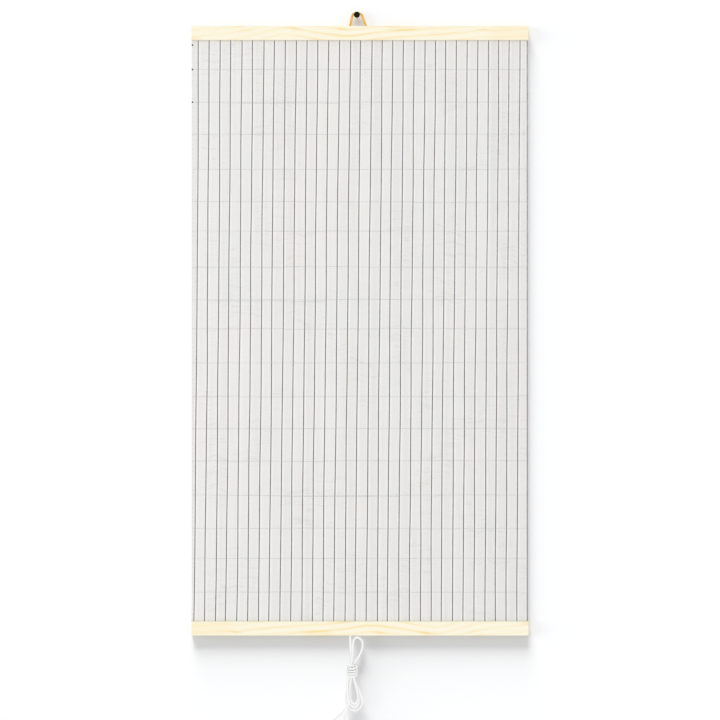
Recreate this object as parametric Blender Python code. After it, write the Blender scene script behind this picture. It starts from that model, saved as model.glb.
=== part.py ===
"""An infrared heating panel: a clear film with woven heating yarns, hung between pine slats on a wall pin.

Metres, +Z up. The origin is where the pin's shank enters the wall, the wall is the plane y = 0, and the
panel's front faces -Y. The power cord leaves the bottom slat, is tied into a small hank and ends in a plug.
"""

from math import asin, cos, pi, radians, sin

import bmesh
import bpy
import numpy as np
from mathutils import Matrix, Vector

# The panel
panel_width = 0.570
panel_offset = 0.0052
film_height = 0.9838
slat_height = 0.024
front_strip_thickness = 0.005
back_strip_thickness = 0.004
strip_rounding = 0.001
sheet_thickness = 0.0004
yarn_thickness = 0.0004
laminate_gap = 0.0001
film_grip = 0.0105
tail_slot_depth = 0.006

# Clearances
seat_gap = 0.0003
hinge_clearance = 0.00025
overrun = 0.001

# Heating mesh, return lead and busbars
yarn_width = 0.002
yarn_pitch = 0.01817
first_yarn_inset = 0.0125
last_yarn_room = 0.011
yarn_lean = 0.0080
thread_width = 0.0008
thread_inset = 0.048
return_lead_width = 0.0015
return_lead_inset = 0.0016
busbar_inset = 0.0015
busbar_height = 0.004
busbar_margin = 0.0003

# Wall pin and hanging loop
pin_head_radius = 0.00515
pin_head_thickness = 0.004
pin_head_stand_off = 0.008
shank_radius = 0.0009
shank_length = 0.012
shank_tip_length = 0.003
shank_socket_depth = 0.0025
loop_radius = 0.0022
loop_drop = 0.0191
loop_left_reach = 0.01095
loop_right_reach = 0.01475
loop_end_length = 0.006
loop_knot_radius = 0.0035
loop_knot_length = 0.006
loop_left_shares = ((1, 0), (0.93, 0.18), (0.82, 0.5), (0.72, 0.74), (0.6, 0.88), (0.42, 0.965), (0.2, 0.995))
loop_right_shares = ((1, 0), (0.92, 0.16), (0.75, 0.5), (0.6, 0.78), (0.47, 0.91), (0.3, 0.97), (0.14, 0.997))

# Slat screws
screw_edge_distance = 0.0082
screw_radius = 0.00125
screw_head_radius = 0.0026
screw_head_length = 0.0013
screw_sink = 0.0002
screw_length = 0.008
screw_tip_length = 0.0008
screw_shares = (-0.42, -0.16, 0.16, 0.42)

# Wiring inside the bottom slat
exit_offset = 0.0164
channel_wall = 0.0035
channel_front_depth = 0.0012
channel_back_depth = 0.0023
channel_margin = 0.003
wiring_height = 0.009
inner_cord_height = 0.0085
lead_radius = 0.00075
lead_spread = 0.001
lead_run = 0.0115
lead_rise = 0.0024
lead_bend_shares = ((0, 0), (0.02, 0.55), (0.14, 0.96), (0.32, 0.96), (0.66, 0.4))
cutout_length = 0.020
cutout_height = 0.007
cutout_depth = 0.0038
cutout_distance = 0.014
crimp_length = 0.006
crimp_wall = 0.00035
busbar_crimp_distance = 0.046
return_crimp_inset = 0.010
tab_width = 0.002
clamp_thickness = 0.0008
clamp_height = 0.0036
clamp_ear = 0.005
clamp_screw_radius = 0.001
clamp_screw_head_radius = 0.0018
clamp_screw_head_length = 0.0013
clamp_screw_depth = 0.0022

# Power cord and its hank
cord_radius = 0.0019
turn_clearance = 0.0006
power_cord_length = 0.024
plug_cord_length = 0.038
knot_side = 0.0033
knot_drop = 0.0486
back_row_distance = 0.0025
row_count = 3
points_per_turn = 24
exit_route = [
    (0, 0, 0),
    (0, 0, -0.004),
    (0.0002, -0.0004, -0.014),
    (0.0007, -0.0013, -0.026),
    (0.0011, -0.0022, -0.038),
]
hanging_loop_depth = 0.0565
hanging_loop_width = 0.0123
hanging_loop_shift = 0.0043
hanging_loop_depth_shares = (0.91, 1, 0.79)
hanging_loop_width_shares = (0.63, 1, 0.46)
hanging_loop_shift_shares = (0.79, 1, 0.88)
loop_fullness_power = 1.5
rising_loop_height = 0.0460
rising_loop_width = 0.0072
rising_loop_shift = 0.0365
rising_loop_lean_back = 0.0285
wrap_squareness = 2.6
wrap_reach_share = 1.19
wrap_start_angle = radians(-128)
wrap_end_angle = radians(-120)
wrap_count = 4
wrap_entry_shares = (
    (0, 0, -0.5),
    (0, 0, 0.1),
    (0.03, -0.32, 0.66),
    (-0.14, -0.82, 0.88),
    (-0.45, -1.18, 0.68),
    (-0.76, -1.27, 0.22),
    (-1.05, -1.24, -0.16),
)
plug_route = [
    (-0.0037, -0.0156, -0.0706),
    (-0.0050, -0.0156, -0.0761),
    (-0.0048, -0.0155, -0.0891),
    (-0.0040, -0.0155, -0.1000),
    (-0.0029, -0.0155, -0.1080),
    (-0.0025, -0.0155, -0.1130),
    (-0.0034, -0.0155, -0.1166),
    (-0.0059, -0.0155, -0.1211),
]

# Plug
plug_lean = radians(29)
plug_length = 0.050
plug_half_width = 0.0176
plug_half_thickness = 0.00685
plug_squareness = 3.2
plug_sides = 28
plug_shares = (
    (0, 0.155, 0.394),
    (0.20, 0.245, 0.526),
    (0.32, 0.352, 0.672),
    (0.50, 0.568, 0.876),
    (0.66, 0.88, 1),
    (0.74, 1, 1),
    (0.82, 0.977, 1),
    (0.97, 0.78, 0.97),
    (1, 0.74, 0.90),
)
plug_pin_spacing = 0.0186
plug_pin_radius = 0.002
plug_pin_length = 0.019
plug_pin_tip_length = 0.001
plug_pin_neck_radius = 0.0013
plug_pin_socket_depth = 0.008
sleeve_length = 0.010
sleeve_wall = 0.0004
sleeve_clearance = 0.0002

smooth_angle = radians(40)
round_sides = 20
small_sides = 12

# Depths, from the wall outwards
film_thickness = 2 * sheet_thickness + yarn_thickness + 2 * laminate_gap
film_back_y = -back_strip_thickness - seat_gap
film_mid_y = film_back_y - film_thickness / 2
film_front_y = film_back_y - film_thickness
front_strip_back_y = film_front_y - seat_gap
front_strip_front_y = front_strip_back_y - front_strip_thickness
yarn_low_y = film_mid_y - yarn_thickness / 2
yarn_high_y = film_mid_y + yarn_thickness / 2

# Heights and sides
slat_top_z = -loop_drop
top_edge_z = slat_top_z - slat_height
bottom_edge_z = top_edge_z - film_height
slat_bottom_z = bottom_edge_z - slat_height
film_hinge_drop = film_thickness / 2 + hinge_clearance
film_top_z = top_edge_z - film_hinge_drop
film_bottom_z = bottom_edge_z + film_hinge_drop
tilt_axis_z = slat_top_z + loop_radius + seat_gap
loop_apex_z = shank_radius + seat_gap + loop_radius
left_x = panel_offset - panel_width / 2
right_x = panel_offset + panel_width / 2
return_lead_x = right_x - return_lead_inset
yarn_count = 1 + int((panel_width - first_yarn_inset - last_yarn_room) / yarn_pitch)

# The cord's exit and the room inside the bottom slat
exit_x = panel_offset - exit_offset
cord_exit = Vector((exit_x, film_mid_y, slat_bottom_z))
wiring_z = slat_bottom_z + wiring_height
channel_floor_y = front_strip_back_y - channel_front_depth
channel_roof_y = -back_strip_thickness + channel_back_depth
channel_low_z = slat_bottom_z + channel_wall
channel_high_z = bottom_edge_z - film_grip - seat_gap
cutout_right_x = exit_x - cutout_distance
cutout_left_x = cutout_right_x - cutout_length
busbar_crimp_x = exit_x - busbar_crimp_distance
return_crimp_x = right_x - return_crimp_inset
crimp_bore_radius = lead_radius + seat_gap

# The hank, from the middle of its knot's upper end
cord_lane = 2 * cord_radius + turn_clearance
wrap_width = cord_lane / 2 + wrap_reach_share * cord_lane
wrap_depth = (row_count - 1) * cord_lane / 2 + wrap_reach_share * cord_lane
wrap_turn = wrap_count * 2 * pi + wrap_start_angle - wrap_end_angle
knot_height = wrap_turn / (2 * pi) * cord_lane + 2 * cord_radius
knot = cord_exit + Vector((knot_side, -back_row_distance, -knot_drop))


def clear_scene():
    for obj in list(bpy.data.objects):
        bpy.data.objects.remove(obj, do_unlink=True)


def material(name, color, roughness, metallic=0.0):
    found = bpy.data.materials.get(name)
    if found:
        return found
    made = bpy.data.materials.new(name)
    made.use_nodes = True
    shader = made.node_tree.nodes["Principled BSDF"]
    shader.inputs["Base Color"].default_value = (*color, 1)
    shader.inputs["Roughness"].default_value = roughness
    shader.inputs["Metallic"].default_value = metallic
    made.diffuse_color = (*color, 1)
    return made


def pine():
    return material("pine", (0.93, 0.82, 0.58), 0.6)


def clear_film():
    return material("clear_film", (0.82, 0.83, 0.85), 0.12)


def dark_yarn():
    return material("dark_yarn", (0.06, 0.05, 0.055), 0.7)


def copper():
    return material("copper", (0.85, 0.42, 0.27), 0.3, 1.0)


def steel():
    return material("steel", (0.62, 0.62, 0.63), 0.3, 1.0)


def black_plastic():
    return material("black_plastic", (0.02, 0.02, 0.022), 0.3)


def golden_cord():
    return material("golden_cord", (0.78, 0.42, 0.10), 0.7)


def white_cord():
    return material("white_cord", (0.86, 0.86, 0.86), 0.4)


def white_plastic():
    return material("white_plastic", (0.86, 0.86, 0.86), 0.35)


def blue_lead():
    return material("blue_lead", (0.08, 0.20, 0.60), 0.45)


def brown_lead():
    return material("brown_lead", (0.25, 0.12, 0.06), 0.45)


def tin():
    return material("tin", (0.72, 0.72, 0.70), 0.35, 1.0)


def nickel():
    return material("nickel", (0.75, 0.72, 0.66), 0.25, 1.0)


def object_of(name, mesh, look, round_piece=False):
    mesh.materials.append(look)
    if round_piece:
        mesh.shade_smooth()
        mesh.set_sharp_from_angle(angle=smooth_angle)
    obj = bpy.data.objects.new(name, mesh)
    bpy.context.collection.objects.link(obj)
    return obj


def solid(name, shape, look, round_piece=False):
    """Turns a closed bmesh into an object whose faces point out."""
    bmesh.ops.recalc_face_normals(shape, faces=shape.faces)
    mesh = bpy.data.meshes.new(name)
    shape.to_mesh(mesh)
    shape.free()
    return object_of(name, mesh, look, round_piece)


def facing_front(u, v, depth):
    return u, depth, v


def along_slat(u, v, depth):
    return depth, u, v


def upright(u, v, depth):
    return u, v, depth


def prism(name, outline, low, high, place, look):
    """An outline drawn out from low to high; place turns its two coordinates and a depth into a point."""
    shape = bmesh.new()
    near = [shape.verts.new(place(u, v, low)) for u, v in outline]
    far = [shape.verts.new(place(u, v, high)) for u, v in outline]
    shape.faces.new(near)
    shape.faces.new(far)
    join_rings(shape, near, far)
    return solid(name, shape, look)


def box(name, x_range, y_range, z_range, look):
    outline = [(x, z) for x, z in zip((*x_range, *reversed(x_range)), np.repeat(z_range, 2))]
    return prism(name, outline, *y_range, facing_front, look)


def join_rings(shape, near, far):
    """Faces between two rings; a ring of one point closes to a tip."""
    count = max(len(near), len(far))
    for step in range(count):
        after = (step + 1) % count
        corners = [near[step % len(near)], near[after % len(near)]]
        corners += [far[after % len(far)], far[step % len(far)]]
        shape.faces.new(list(dict.fromkeys(corners)))


def turned(name, profile, start, direction, sides, look, hollow=False):
    """A round solid from (distance along the axis, radius) pairs; hollow joins the last pair to the first."""
    shape = bmesh.new()
    axis = Vector(direction)
    side = axis.orthogonal().normalized()
    rings = []
    for along, radius in profile:
        centre = Vector(start) + axis * along
        angles = [2 * pi * step / sides for step in range(sides if radius else 1)]
        spokes = [Matrix.Rotation(angle, 3, axis) @ side for angle in angles]
        rings.append([shape.verts.new(centre + spoke * radius) for spoke in spokes])
    for near, far in zip(rings, rings[1:]):
        join_rings(shape, near, far)
    if hollow:
        join_rings(shape, rings[-1], rings[0])
    else:
        for ring in (rings[0], rings[-1]):
            if len(ring) > 1:
                shape.faces.new(ring)
    return solid(name, shape, look, round_piece=True)


def through(knots, samples):
    """A smooth curve through the knots, with this many steps from each to the next."""
    knots = [Vector(knot) for knot in knots]
    padded = [2 * knots[0] - knots[1], *knots, 2 * knots[-1] - knots[-2]]
    points = []
    for before, start, end, after in zip(padded, padded[1:], padded[2:], padded[3:]):
        for step in range(samples):
            t = step / samples
            bend = 2 * before - 5 * start + 4 * end - after
            twist = 3 * start - before - 3 * end + after
            points.append((2 * start + (end - before) * t + bend * t**2 + twist * t**3) / 2)
    return [*points, knots[-1]]


def lengths_along(points):
    steps = [(after - before).length for before, after in zip(points, points[1:])]
    return np.concatenate([[0], np.cumsum(steps)])


def at_lengths(points, wanted):
    travelled = lengths_along(points)
    columns = [np.interp(wanted, travelled, [point[axis] for point in points]) for axis in range(3)]
    return [Vector(place) for place in zip(*columns)]


def spaced(points, begin, end, spacing):
    """Points at even distances along the part of the curve from begin to end."""
    count = 1 + max(1, round((end - begin) / spacing))
    return at_lengths(points, np.linspace(begin, end, count))


def between(points, begin, end, clear):
    """The curve's own points from begin to end, less those closer to the two ends than clear."""
    inner = [point for point, at in zip(points, lengths_along(points)) if begin + clear < at < end - clear]
    first, last = at_lengths(points, [begin, end])
    return [first, *inner, last]


def tube(name, points, radius, resolution, look, radius_shares=None):
    curve = bpy.data.curves.new(name, "CURVE")
    curve.dimensions = "3D"
    curve.bevel_depth = radius
    curve.bevel_resolution = resolution
    curve.use_fill_caps = True
    spline = curve.splines.new("POLY")
    spline.points.add(len(points) - 1)
    for point, place, share in zip(spline.points, points, radius_shares or [1] * len(points)):
        point.co = (*place, 1)
        point.radius = share
    curve.materials.append(look)
    obj = bpy.data.objects.new(name, curve)
    bpy.context.collection.objects.link(obj)
    return obj


def cut(target, *cutters):
    for cutter in cutters:
        cutter.hide_render = True
        cutter.display_type = "WIRE"
        step = target.modifiers.new(cutter.name, "BOOLEAN")
        step.operation = "DIFFERENCE"
        step.solver = "EXACT"
        step.object = cutter


def pivot(name, place, parent):
    """An empty on a joint's axis, for the pieces that move about it."""
    empty = bpy.data.objects.new(name, None)
    bpy.context.collection.objects.link(empty)
    empty.location = Vector(place) - (Vector(parent["place"]) if parent else Vector())
    empty["place"] = place
    empty.parent = parent
    return empty


def hang(parent, *pieces):
    """Parents pieces that are modelled in world coordinates."""
    for piece in pieces:
        piece.parent = parent
        piece.matrix_parent_inverse = Matrix.Translation(parent["place"]).inverted()


def yarn_x(index, height_share):
    """A yarn's middle; height_share is 0 at the top of the film and 1 at its foot."""
    return left_x + first_yarn_inset + index * yarn_pitch - yarn_lean * height_share


def pin_head():
    rounding = pin_head_thickness / 2
    profile = [(-pin_head_thickness, 0)]
    for step in range(1, 5):
        angle = step * pi / 8
        along = -pin_head_thickness + rounding * (1 - cos(angle))
        profile.append((along, pin_head_radius * sin(angle) ** 0.7))
    profile += [(0, pin_head_radius), (0, shank_radius + seat_gap)]
    profile += [(-shank_socket_depth, shank_radius + seat_gap), (-shank_socket_depth, 0)]
    return turned("pin_head", profile, (0, -pin_head_stand_off, 0), (0, 1, 0), round_sides, black_plastic())


def pin_shank():
    start_y = -pin_head_stand_off - shank_socket_depth + seat_gap
    profile = [
        (start_y, 0),
        (start_y, shank_radius),
        (shank_length, shank_radius),
        (shank_length + shank_tip_length, 0),
    ]
    return turned("pin_shank", profile, (0, 0, 0), (0, 1, 0), small_sides, steel())


def loop_leg(reach, shares):
    """Points from a foot of the hanging loop almost to its top."""
    height = loop_apex_z - tilt_axis_z
    return [(x * reach, film_mid_y, tilt_axis_z + z * height) for x, z in shares]


def hanging_loop():
    """The cord over the pin; each foot ends in a ball about the axis on which the slat tilts."""
    left = loop_leg(-loop_left_reach, loop_left_shares)
    right = loop_leg(loop_right_reach, loop_right_shares)
    points = through([*left, (0, film_mid_y, loop_apex_z), *reversed(right)], 2)
    ball = [(-loop_radius * sin(angle), cos(angle)) for angle in (radians(78), radians(50), radians(25))]
    tips = [(points[0] + Vector((0, 0, drop)), share) for drop, share in ball]
    tails = [(points[-1] + Vector((0, 0, drop)), share) for drop, share in reversed(ball)]
    places = [*(place for place, _ in tips), *points, *(place for place, _ in tails)]
    shares = [*(share for _, share in tips), *([1] * len(points)), *(share for _, share in tails)]
    return tube("hanging_loop", places, loop_radius, 2, golden_cord(), shares)


def loop_end_profile(clearance):
    """From the top of the slat down: a short neck, then the knot."""
    neck = loop_radius + clearance
    knot_radius = loop_knot_radius + clearance
    shoulder = (loop_knot_radius - loop_radius) / 2
    knot_end = loop_end_length + loop_knot_length + clearance
    return [
        (loop_end_length - clearance, neck),
        (loop_end_length + shoulder - clearance, knot_radius),
        (knot_end - shoulder, knot_radius),
        (knot_end, neck),
        (knot_end, 0),
    ]


def loop_end(name, x):
    profile = [(0, 0), (0, loop_radius), *loop_end_profile(0)]
    return turned(name, profile, (x, film_mid_y, slat_top_z), (0, 0, -1), small_sides, golden_cord())


def loop_pocket(name, x):
    neck = loop_radius + seat_gap
    profile = [(-overrun, 0), (-overrun, neck), *loop_end_profile(seat_gap)]
    return turned(name, profile, (x, film_mid_y, slat_top_z), (0, 0, -1), small_sides, pine())


def strip(name, inner_y, outer_y, low_z, high_z):
    """A pine strip; the two long edges of its outer face are rounded off."""
    inward = strip_rounding if outer_y < inner_y else -strip_rounding
    angles = [step * pi / 6 for step in range(4)]
    corner = [(outer_y + inward * (1 - sin(angle)), strip_rounding * (1 - cos(angle))) for angle in angles]
    outline = [(inner_y, high_z), (inner_y, low_z)]
    outline += [(y, low_z + rise) for y, rise in corner]
    outline += [(y, high_z - rise) for y, rise in reversed(corner)]
    return prism(name, outline, left_x, right_x, along_slat, pine())


def slat_strips(side, low_z, high_z):
    front = strip(f"{side}_slat_front", front_strip_back_y, front_strip_front_y, low_z, high_z)
    back = strip(f"{side}_slat_back", -back_strip_thickness, 0, low_z, high_z)
    return front, back


def screw_places(edge_z, inward):
    z = edge_z + inward * screw_edge_distance
    return [(panel_offset + share * panel_width, 0, z) for share in screw_shares]


def slat_screw(name, place):
    end = screw_sink + screw_length
    profile = [
        (screw_sink, 0),
        (screw_sink, screw_head_radius),
        (screw_sink + screw_head_length, screw_radius),
        (end - screw_tip_length, screw_radius),
        (end, 0),
    ]
    return turned(name, profile, place, (0, -1, 0), small_sides, steel())


def screw_hole(name, place):
    """The room round a screw: a countersink at the back and a straight hole to past the screw's tip."""
    profile = [
        (-overrun, 0),
        (-overrun, screw_head_radius + seat_gap),
        (screw_sink, screw_head_radius + seat_gap),
        (screw_sink + screw_head_length, screw_radius + seat_gap),
        (screw_sink + screw_length + seat_gap, screw_radius + seat_gap),
        (screw_sink + screw_length + seat_gap, 0),
    ]
    return turned(name, profile, place, (0, -1, 0), small_sides, pine())


def film_tail(name, edge_z, inward):
    """The film's gripped end: two sheets round a slot, joined in a solid hem."""
    end_z = edge_z + inward * film_grip
    slot_z = edge_z + inward * tail_slot_depth
    slot_front_y = yarn_low_y - laminate_gap
    slot_back_y = yarn_high_y + laminate_gap
    outline = [
        (film_back_y, edge_z),
        (film_back_y, end_z),
        (film_front_y, end_z),
        (film_front_y, edge_z),
        (slot_front_y, edge_z),
        (slot_front_y, slot_z),
        (slot_back_y, slot_z),
        (slot_back_y, edge_z),
    ]
    return prism(name, outline, left_x, right_x, along_slat, clear_film())


def hem_notch(name, from_x, to_x):
    """An opening through the bottom hem, for a conductor on its way to the wiring."""
    hem_z = bottom_edge_z - tail_slot_depth + overrun
    end_z = bottom_edge_z - film_grip - overrun
    y_range = (film_front_y - overrun, film_back_y + overrun)
    return box(name, (from_x, to_x), y_range, (end_z, hem_z), clear_film())


def comb(name, edge_z, inward, teeth, deep_side, look):
    """A busbar: a strip along the slat with one tooth for each conductor, and deep_side as its far edge."""
    film_side_z = edge_z + inward * busbar_inset
    outline = list(deep_side)
    for x, width in sorted(teeth, reverse=True):
        outline += [(x + width / 2, film_side_z), (x + width / 2, edge_z)]
        outline += [(x - width / 2, edge_z), (x - width / 2, film_side_z)]
    return prism(name, outline, yarn_low_y, yarn_high_y, facing_front, look)


def busbar_top():
    teeth = [(yarn_x(index, 0), yarn_width) for index in range(yarn_count)]
    teeth.append((return_lead_x, return_lead_width))
    near_z = top_edge_z + busbar_inset
    far_z = near_z + busbar_height
    start_x = yarn_x(0, 0) - yarn_width / 2 - busbar_margin
    end_x = return_lead_x + return_lead_width / 2 + busbar_margin
    deep_side = [(start_x, near_z), (start_x, far_z), (end_x, far_z), (end_x, near_z)]
    return comb("busbar_top", top_edge_z, 1, teeth, deep_side, copper())


def tab_x():
    """The middle of the busbar's tab, which turns into its crimp from the left."""
    return busbar_crimp_x - crimp_length / 2 - tab_width


def busbar_bottom():
    teeth = [(yarn_x(index, 1), yarn_width) for index in range(yarn_count)]
    near_z = bottom_edge_z - busbar_inset
    far_z = near_z - busbar_height
    start_x = yarn_x(0, 1) - yarn_width / 2 - busbar_margin
    end_x = yarn_x(yarn_count - 1, 1) + yarn_width / 2 + busbar_margin
    deep_side = [
        (start_x, near_z),
        (start_x, far_z),
        (tab_x() - tab_width / 2, far_z),
        (tab_x() - tab_width / 2, wiring_z - return_lead_width / 2),
        (busbar_crimp_x - seat_gap / 2, wiring_z - return_lead_width / 2),
        (busbar_crimp_x - seat_gap / 2, wiring_z + return_lead_width / 2),
        (tab_x() + tab_width / 2, wiring_z + return_lead_width / 2),
        (tab_x() + tab_width / 2, far_z),
        (end_x, far_z),
        (end_x, near_z),
    ]
    return comb("busbar_bottom", bottom_edge_z, -1, teeth, deep_side, copper())


def return_lead_tail():
    inner_x = return_lead_x - return_lead_width / 2
    outer_x = return_lead_x + return_lead_width / 2
    outline = [
        (inner_x, bottom_edge_z),
        (outer_x, bottom_edge_z),
        (outer_x, wiring_z - return_lead_width / 2),
        (return_crimp_x + seat_gap / 2, wiring_z - return_lead_width / 2),
        (return_crimp_x + seat_gap / 2, wiring_z + return_lead_width / 2),
        (inner_x, wiring_z + return_lead_width / 2),
    ]
    return prism("return_lead_tail", outline, yarn_low_y, yarn_high_y, facing_front, copper())


def film_sheet(name, y_range):
    return box(name, (left_x, right_x), y_range, (film_bottom_z, film_top_z), clear_film())


def heating_mesh():
    """The upright yarns with their first and last cross threads, cut from one flat sheet."""
    threads = (film_top_z - thread_inset, film_bottom_z + thread_inset)
    heights = [film_top_z]
    for thread_z in threads:
        heights += [thread_z + thread_width / 2, thread_z - thread_width / 2]
    heights.append(film_bottom_z)
    shape = bmesh.new()
    rows = []
    for z in heights:
        share = (film_top_z - z) / (film_top_z - film_bottom_z)
        middles = [yarn_x(index, share) for index in range(yarn_count)]
        xs = [middle + half for middle in middles for half in (-yarn_width / 2, yarn_width / 2)]
        rows.append([shape.verts.new((x, yarn_high_y, z)) for x in (left_x, *xs)])
    thread_rows = (1, 3)
    for row, (upper, lower) in enumerate(zip(rows, rows[1:])):
        for column in range(len(upper) - 1):
            if column % 2 or row in thread_rows:
                shape.faces.new([upper[column], lower[column], lower[column + 1], upper[column + 1]])
    loose = [vert for vert in shape.verts if not vert.link_faces]
    bmesh.ops.delete(shape, geom=loose, context="VERTS")
    mesh = bpy.data.meshes.new("heating_mesh")
    shape.to_mesh(mesh)
    shape.free()
    obj = object_of("heating_mesh", mesh, dark_yarn())
    thicken = obj.modifiers.new("thickness", "SOLIDIFY")
    thicken.thickness = yarn_thickness
    thicken.offset = 1
    return obj


def return_lead():
    x_range = (return_lead_x - return_lead_width / 2, return_lead_x + return_lead_width / 2)
    return box("return_lead", x_range, (yarn_low_y, yarn_high_y), (film_bottom_z, film_top_z), dark_yarn())


def wiring_channel():
    left_end_x = tab_x() - tab_width / 2 - channel_margin
    right_end_x = return_crimp_x + crimp_length / 2 + channel_margin
    y_range = (channel_floor_y, channel_roof_y)
    z_range = (channel_low_z, channel_high_z)
    return box("wiring_channel", (left_end_x, right_end_x), y_range, z_range, pine())


def exit_hole():
    radius = cord_radius + seat_gap
    end = channel_wall + overrun
    profile = [(-overrun, 0), (-overrun, radius), (end, radius), (end, 0)]
    return turned("exit_hole", profile, cord_exit, (0, 0, 1), small_sides, pine())


def cord_inner_end():
    points = [cord_exit, cord_exit + Vector((0, 0, inner_cord_height))]
    return tube("cord_inner_end", points, cord_radius, 2, white_cord())


def core_lead(name, side, end_x, look):
    """One core of the cord, from the cord's end over a small hump and level to end_x."""
    start = cord_exit + Vector((side * lead_spread, 0, inner_cord_height + seat_gap))
    knots = [start + Vector((side * run * lead_run, 0, rise * lead_rise)) for run, rise in lead_bend_shares]
    knots.append(Vector((start.x + side * lead_run, film_mid_y, wiring_z)))
    points = [*through(knots, 3), Vector((end_x, film_mid_y, wiring_z))]
    return tube(name, points, lead_radius, 1, look)


def neutral_lead():
    return core_lead("neutral_lead", 1, return_crimp_x - seat_gap / 2, blue_lead())


def live_lead():
    return core_lead("live_lead", -1, cutout_right_x + seat_gap, brown_lead())


def cutout_lead():
    ends = (cutout_left_x - seat_gap, busbar_crimp_x + seat_gap / 2)
    points = [Vector((x, film_mid_y, wiring_z)) for x in ends]
    return tube("cutout_lead", points, lead_radius, 1, brown_lead())


def thermal_cutout():
    front_y = channel_floor_y + seat_gap
    y_range = (front_y, front_y + cutout_depth)
    z_range = (wiring_z - cutout_height / 2, wiring_z + cutout_height / 2)
    return box("thermal_cutout", (cutout_left_x, cutout_right_x), y_range, z_range, steel())


def crimp(name, x):
    half = crimp_length / 2
    outer = crimp_bore_radius + crimp_wall
    profile = [(-half, crimp_bore_radius), (-half, outer), (half, outer), (half, crimp_bore_radius)]
    return turned(name, profile, (x, film_mid_y, wiring_z), (1, 0, 0), small_sides, tin(), hollow=True)


def clamp_middle_z():
    return (channel_low_z + cord_exit.z + inner_cord_height) / 2


def clamp_screw_x(side):
    inner = cord_radius + seat_gap + clamp_thickness
    return exit_x + side * (inner + clamp_ear / 2)


def cord_clamp():
    """A saddle over the cord, with an ear each side on the floor of the channel."""
    inner = cord_radius + seat_gap
    outer = inner + clamp_thickness
    foot = channel_floor_y + seat_gap - film_mid_y
    brow = foot + clamp_thickness
    inner_start = asin(foot / inner)
    outer_start = asin(brow / outer)
    steps = [step / 8 for step in range(9)]
    inside = [inner_start + share * (pi - 2 * inner_start) for share in steps]
    outside = [outer_start + share * (pi - 2 * outer_start) for share in reversed(steps)]
    reach = outer + clamp_ear
    outline = [(inner * cos(angle), inner * sin(angle)) for angle in inside]
    outline += [(-reach, foot), (-reach, brow)]
    outline += [(outer * cos(angle), outer * sin(angle)) for angle in outside]
    outline += [(reach, brow), (reach, foot)]
    places = [(exit_x + u, film_mid_y + v) for u, v in outline]
    low_z = clamp_middle_z() - clamp_height / 2
    return prism("cord_clamp", places, low_z, low_z + clamp_height, upright, steel())


def clamp_screw(name, side):
    head_y = channel_floor_y + 2 * seat_gap + clamp_thickness
    profile = [
        (-clamp_screw_head_length, 0),
        (-clamp_screw_head_length, clamp_screw_head_radius),
        (0, clamp_screw_head_radius),
        (0, clamp_screw_radius),
        (head_y - channel_floor_y + clamp_screw_depth, clamp_screw_radius),
        (head_y - channel_floor_y + clamp_screw_depth, 0),
    ]
    place = (clamp_screw_x(side), head_y, clamp_middle_z())
    return turned(name, profile, place, (0, -1, 0), small_sides, steel())


def clamp_hole(name, side):
    radius = clamp_screw_radius + seat_gap
    end = clamp_screw_depth + seat_gap
    start = -2 * clamp_thickness - overrun
    profile = [(start, 0), (start, radius), (end, radius), (end, 0)]
    place = (clamp_screw_x(side), channel_floor_y, clamp_middle_z())
    return turned(name, profile, place, (0, -1, 0), small_sides, steel())


def lane_place(row, side, z):
    """A strand in the knot: rows go outwards from the wall, side is -1 on the left and 1 on the right."""
    return knot + Vector((side * cord_lane / 2, -row * cord_lane, z))


def bulge(angle):
    """A loop's sideways swell: 0 at its neck, 1 where it is widest."""
    widest = (loop_fullness_power + 1) / (loop_fullness_power + 2)
    peak = 2 * widest ** ((loop_fullness_power + 1) / 2) * (1 - widest) ** 0.5
    return sin(angle) * abs(sin(angle / 2)) ** loop_fullness_power / peak


def loop_angles():
    return [2 * pi * step / points_per_turn for step in range(points_per_turn + 1)]


def hanging_strands(row):
    """Down from the left lane, round the loop below the knot and up into the right lane, within one row."""
    width = hanging_loop_width * hanging_loop_width_shares[row]
    shift = hanging_loop_shift * hanging_loop_shift_shares[row]
    depth = hanging_loop_depth * hanging_loop_depth_shares[row]
    points = []
    for angle in loop_angles():
        swell = sin(angle / 2) ** 2
        x = -cord_lane / 2 * cos(angle / 2) - width * bulge(angle) + shift * swell
        points.append(knot + Vector((x, -row * cord_lane, -knot_height - depth * swell)))
    return points


def eased(share):
    share = min(max(share, 0), 1)
    return share * share * (3 - 2 * share)


def rising_strands(row):
    """Up from a row's right lane, round the loop above the knot and down into the next row's left lane."""
    points = []
    for angle in loop_angles():
        swell = sin(angle / 2) ** 2
        middle = rising_loop_shift * swell**1.25 - rising_loop_lean_back * swell**2
        x = cord_lane / 2 * cos(angle / 2) + rising_loop_width * bulge(angle) + middle
        y = -cord_lane * (row + eased((angle - pi / 2) / pi))
        points.append(knot + Vector((x, y, rising_loop_height * swell)))
    return points


def signed_power(value, power):
    return abs(value) ** power * (1 if value > 0 else -1)


def wrap_point(angle):
    """A point of the turns round the bundle, which run down as they go round."""
    roundness = 2 / wrap_squareness
    x = wrap_width * signed_power(cos(angle), roundness)
    y = wrap_depth * signed_power(sin(angle), roundness) - (row_count - 1) * cord_lane / 2
    z = -cord_radius - (wrap_start_angle - angle) / (2 * pi) * cord_lane
    return knot + Vector((x, y, z))


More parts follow.
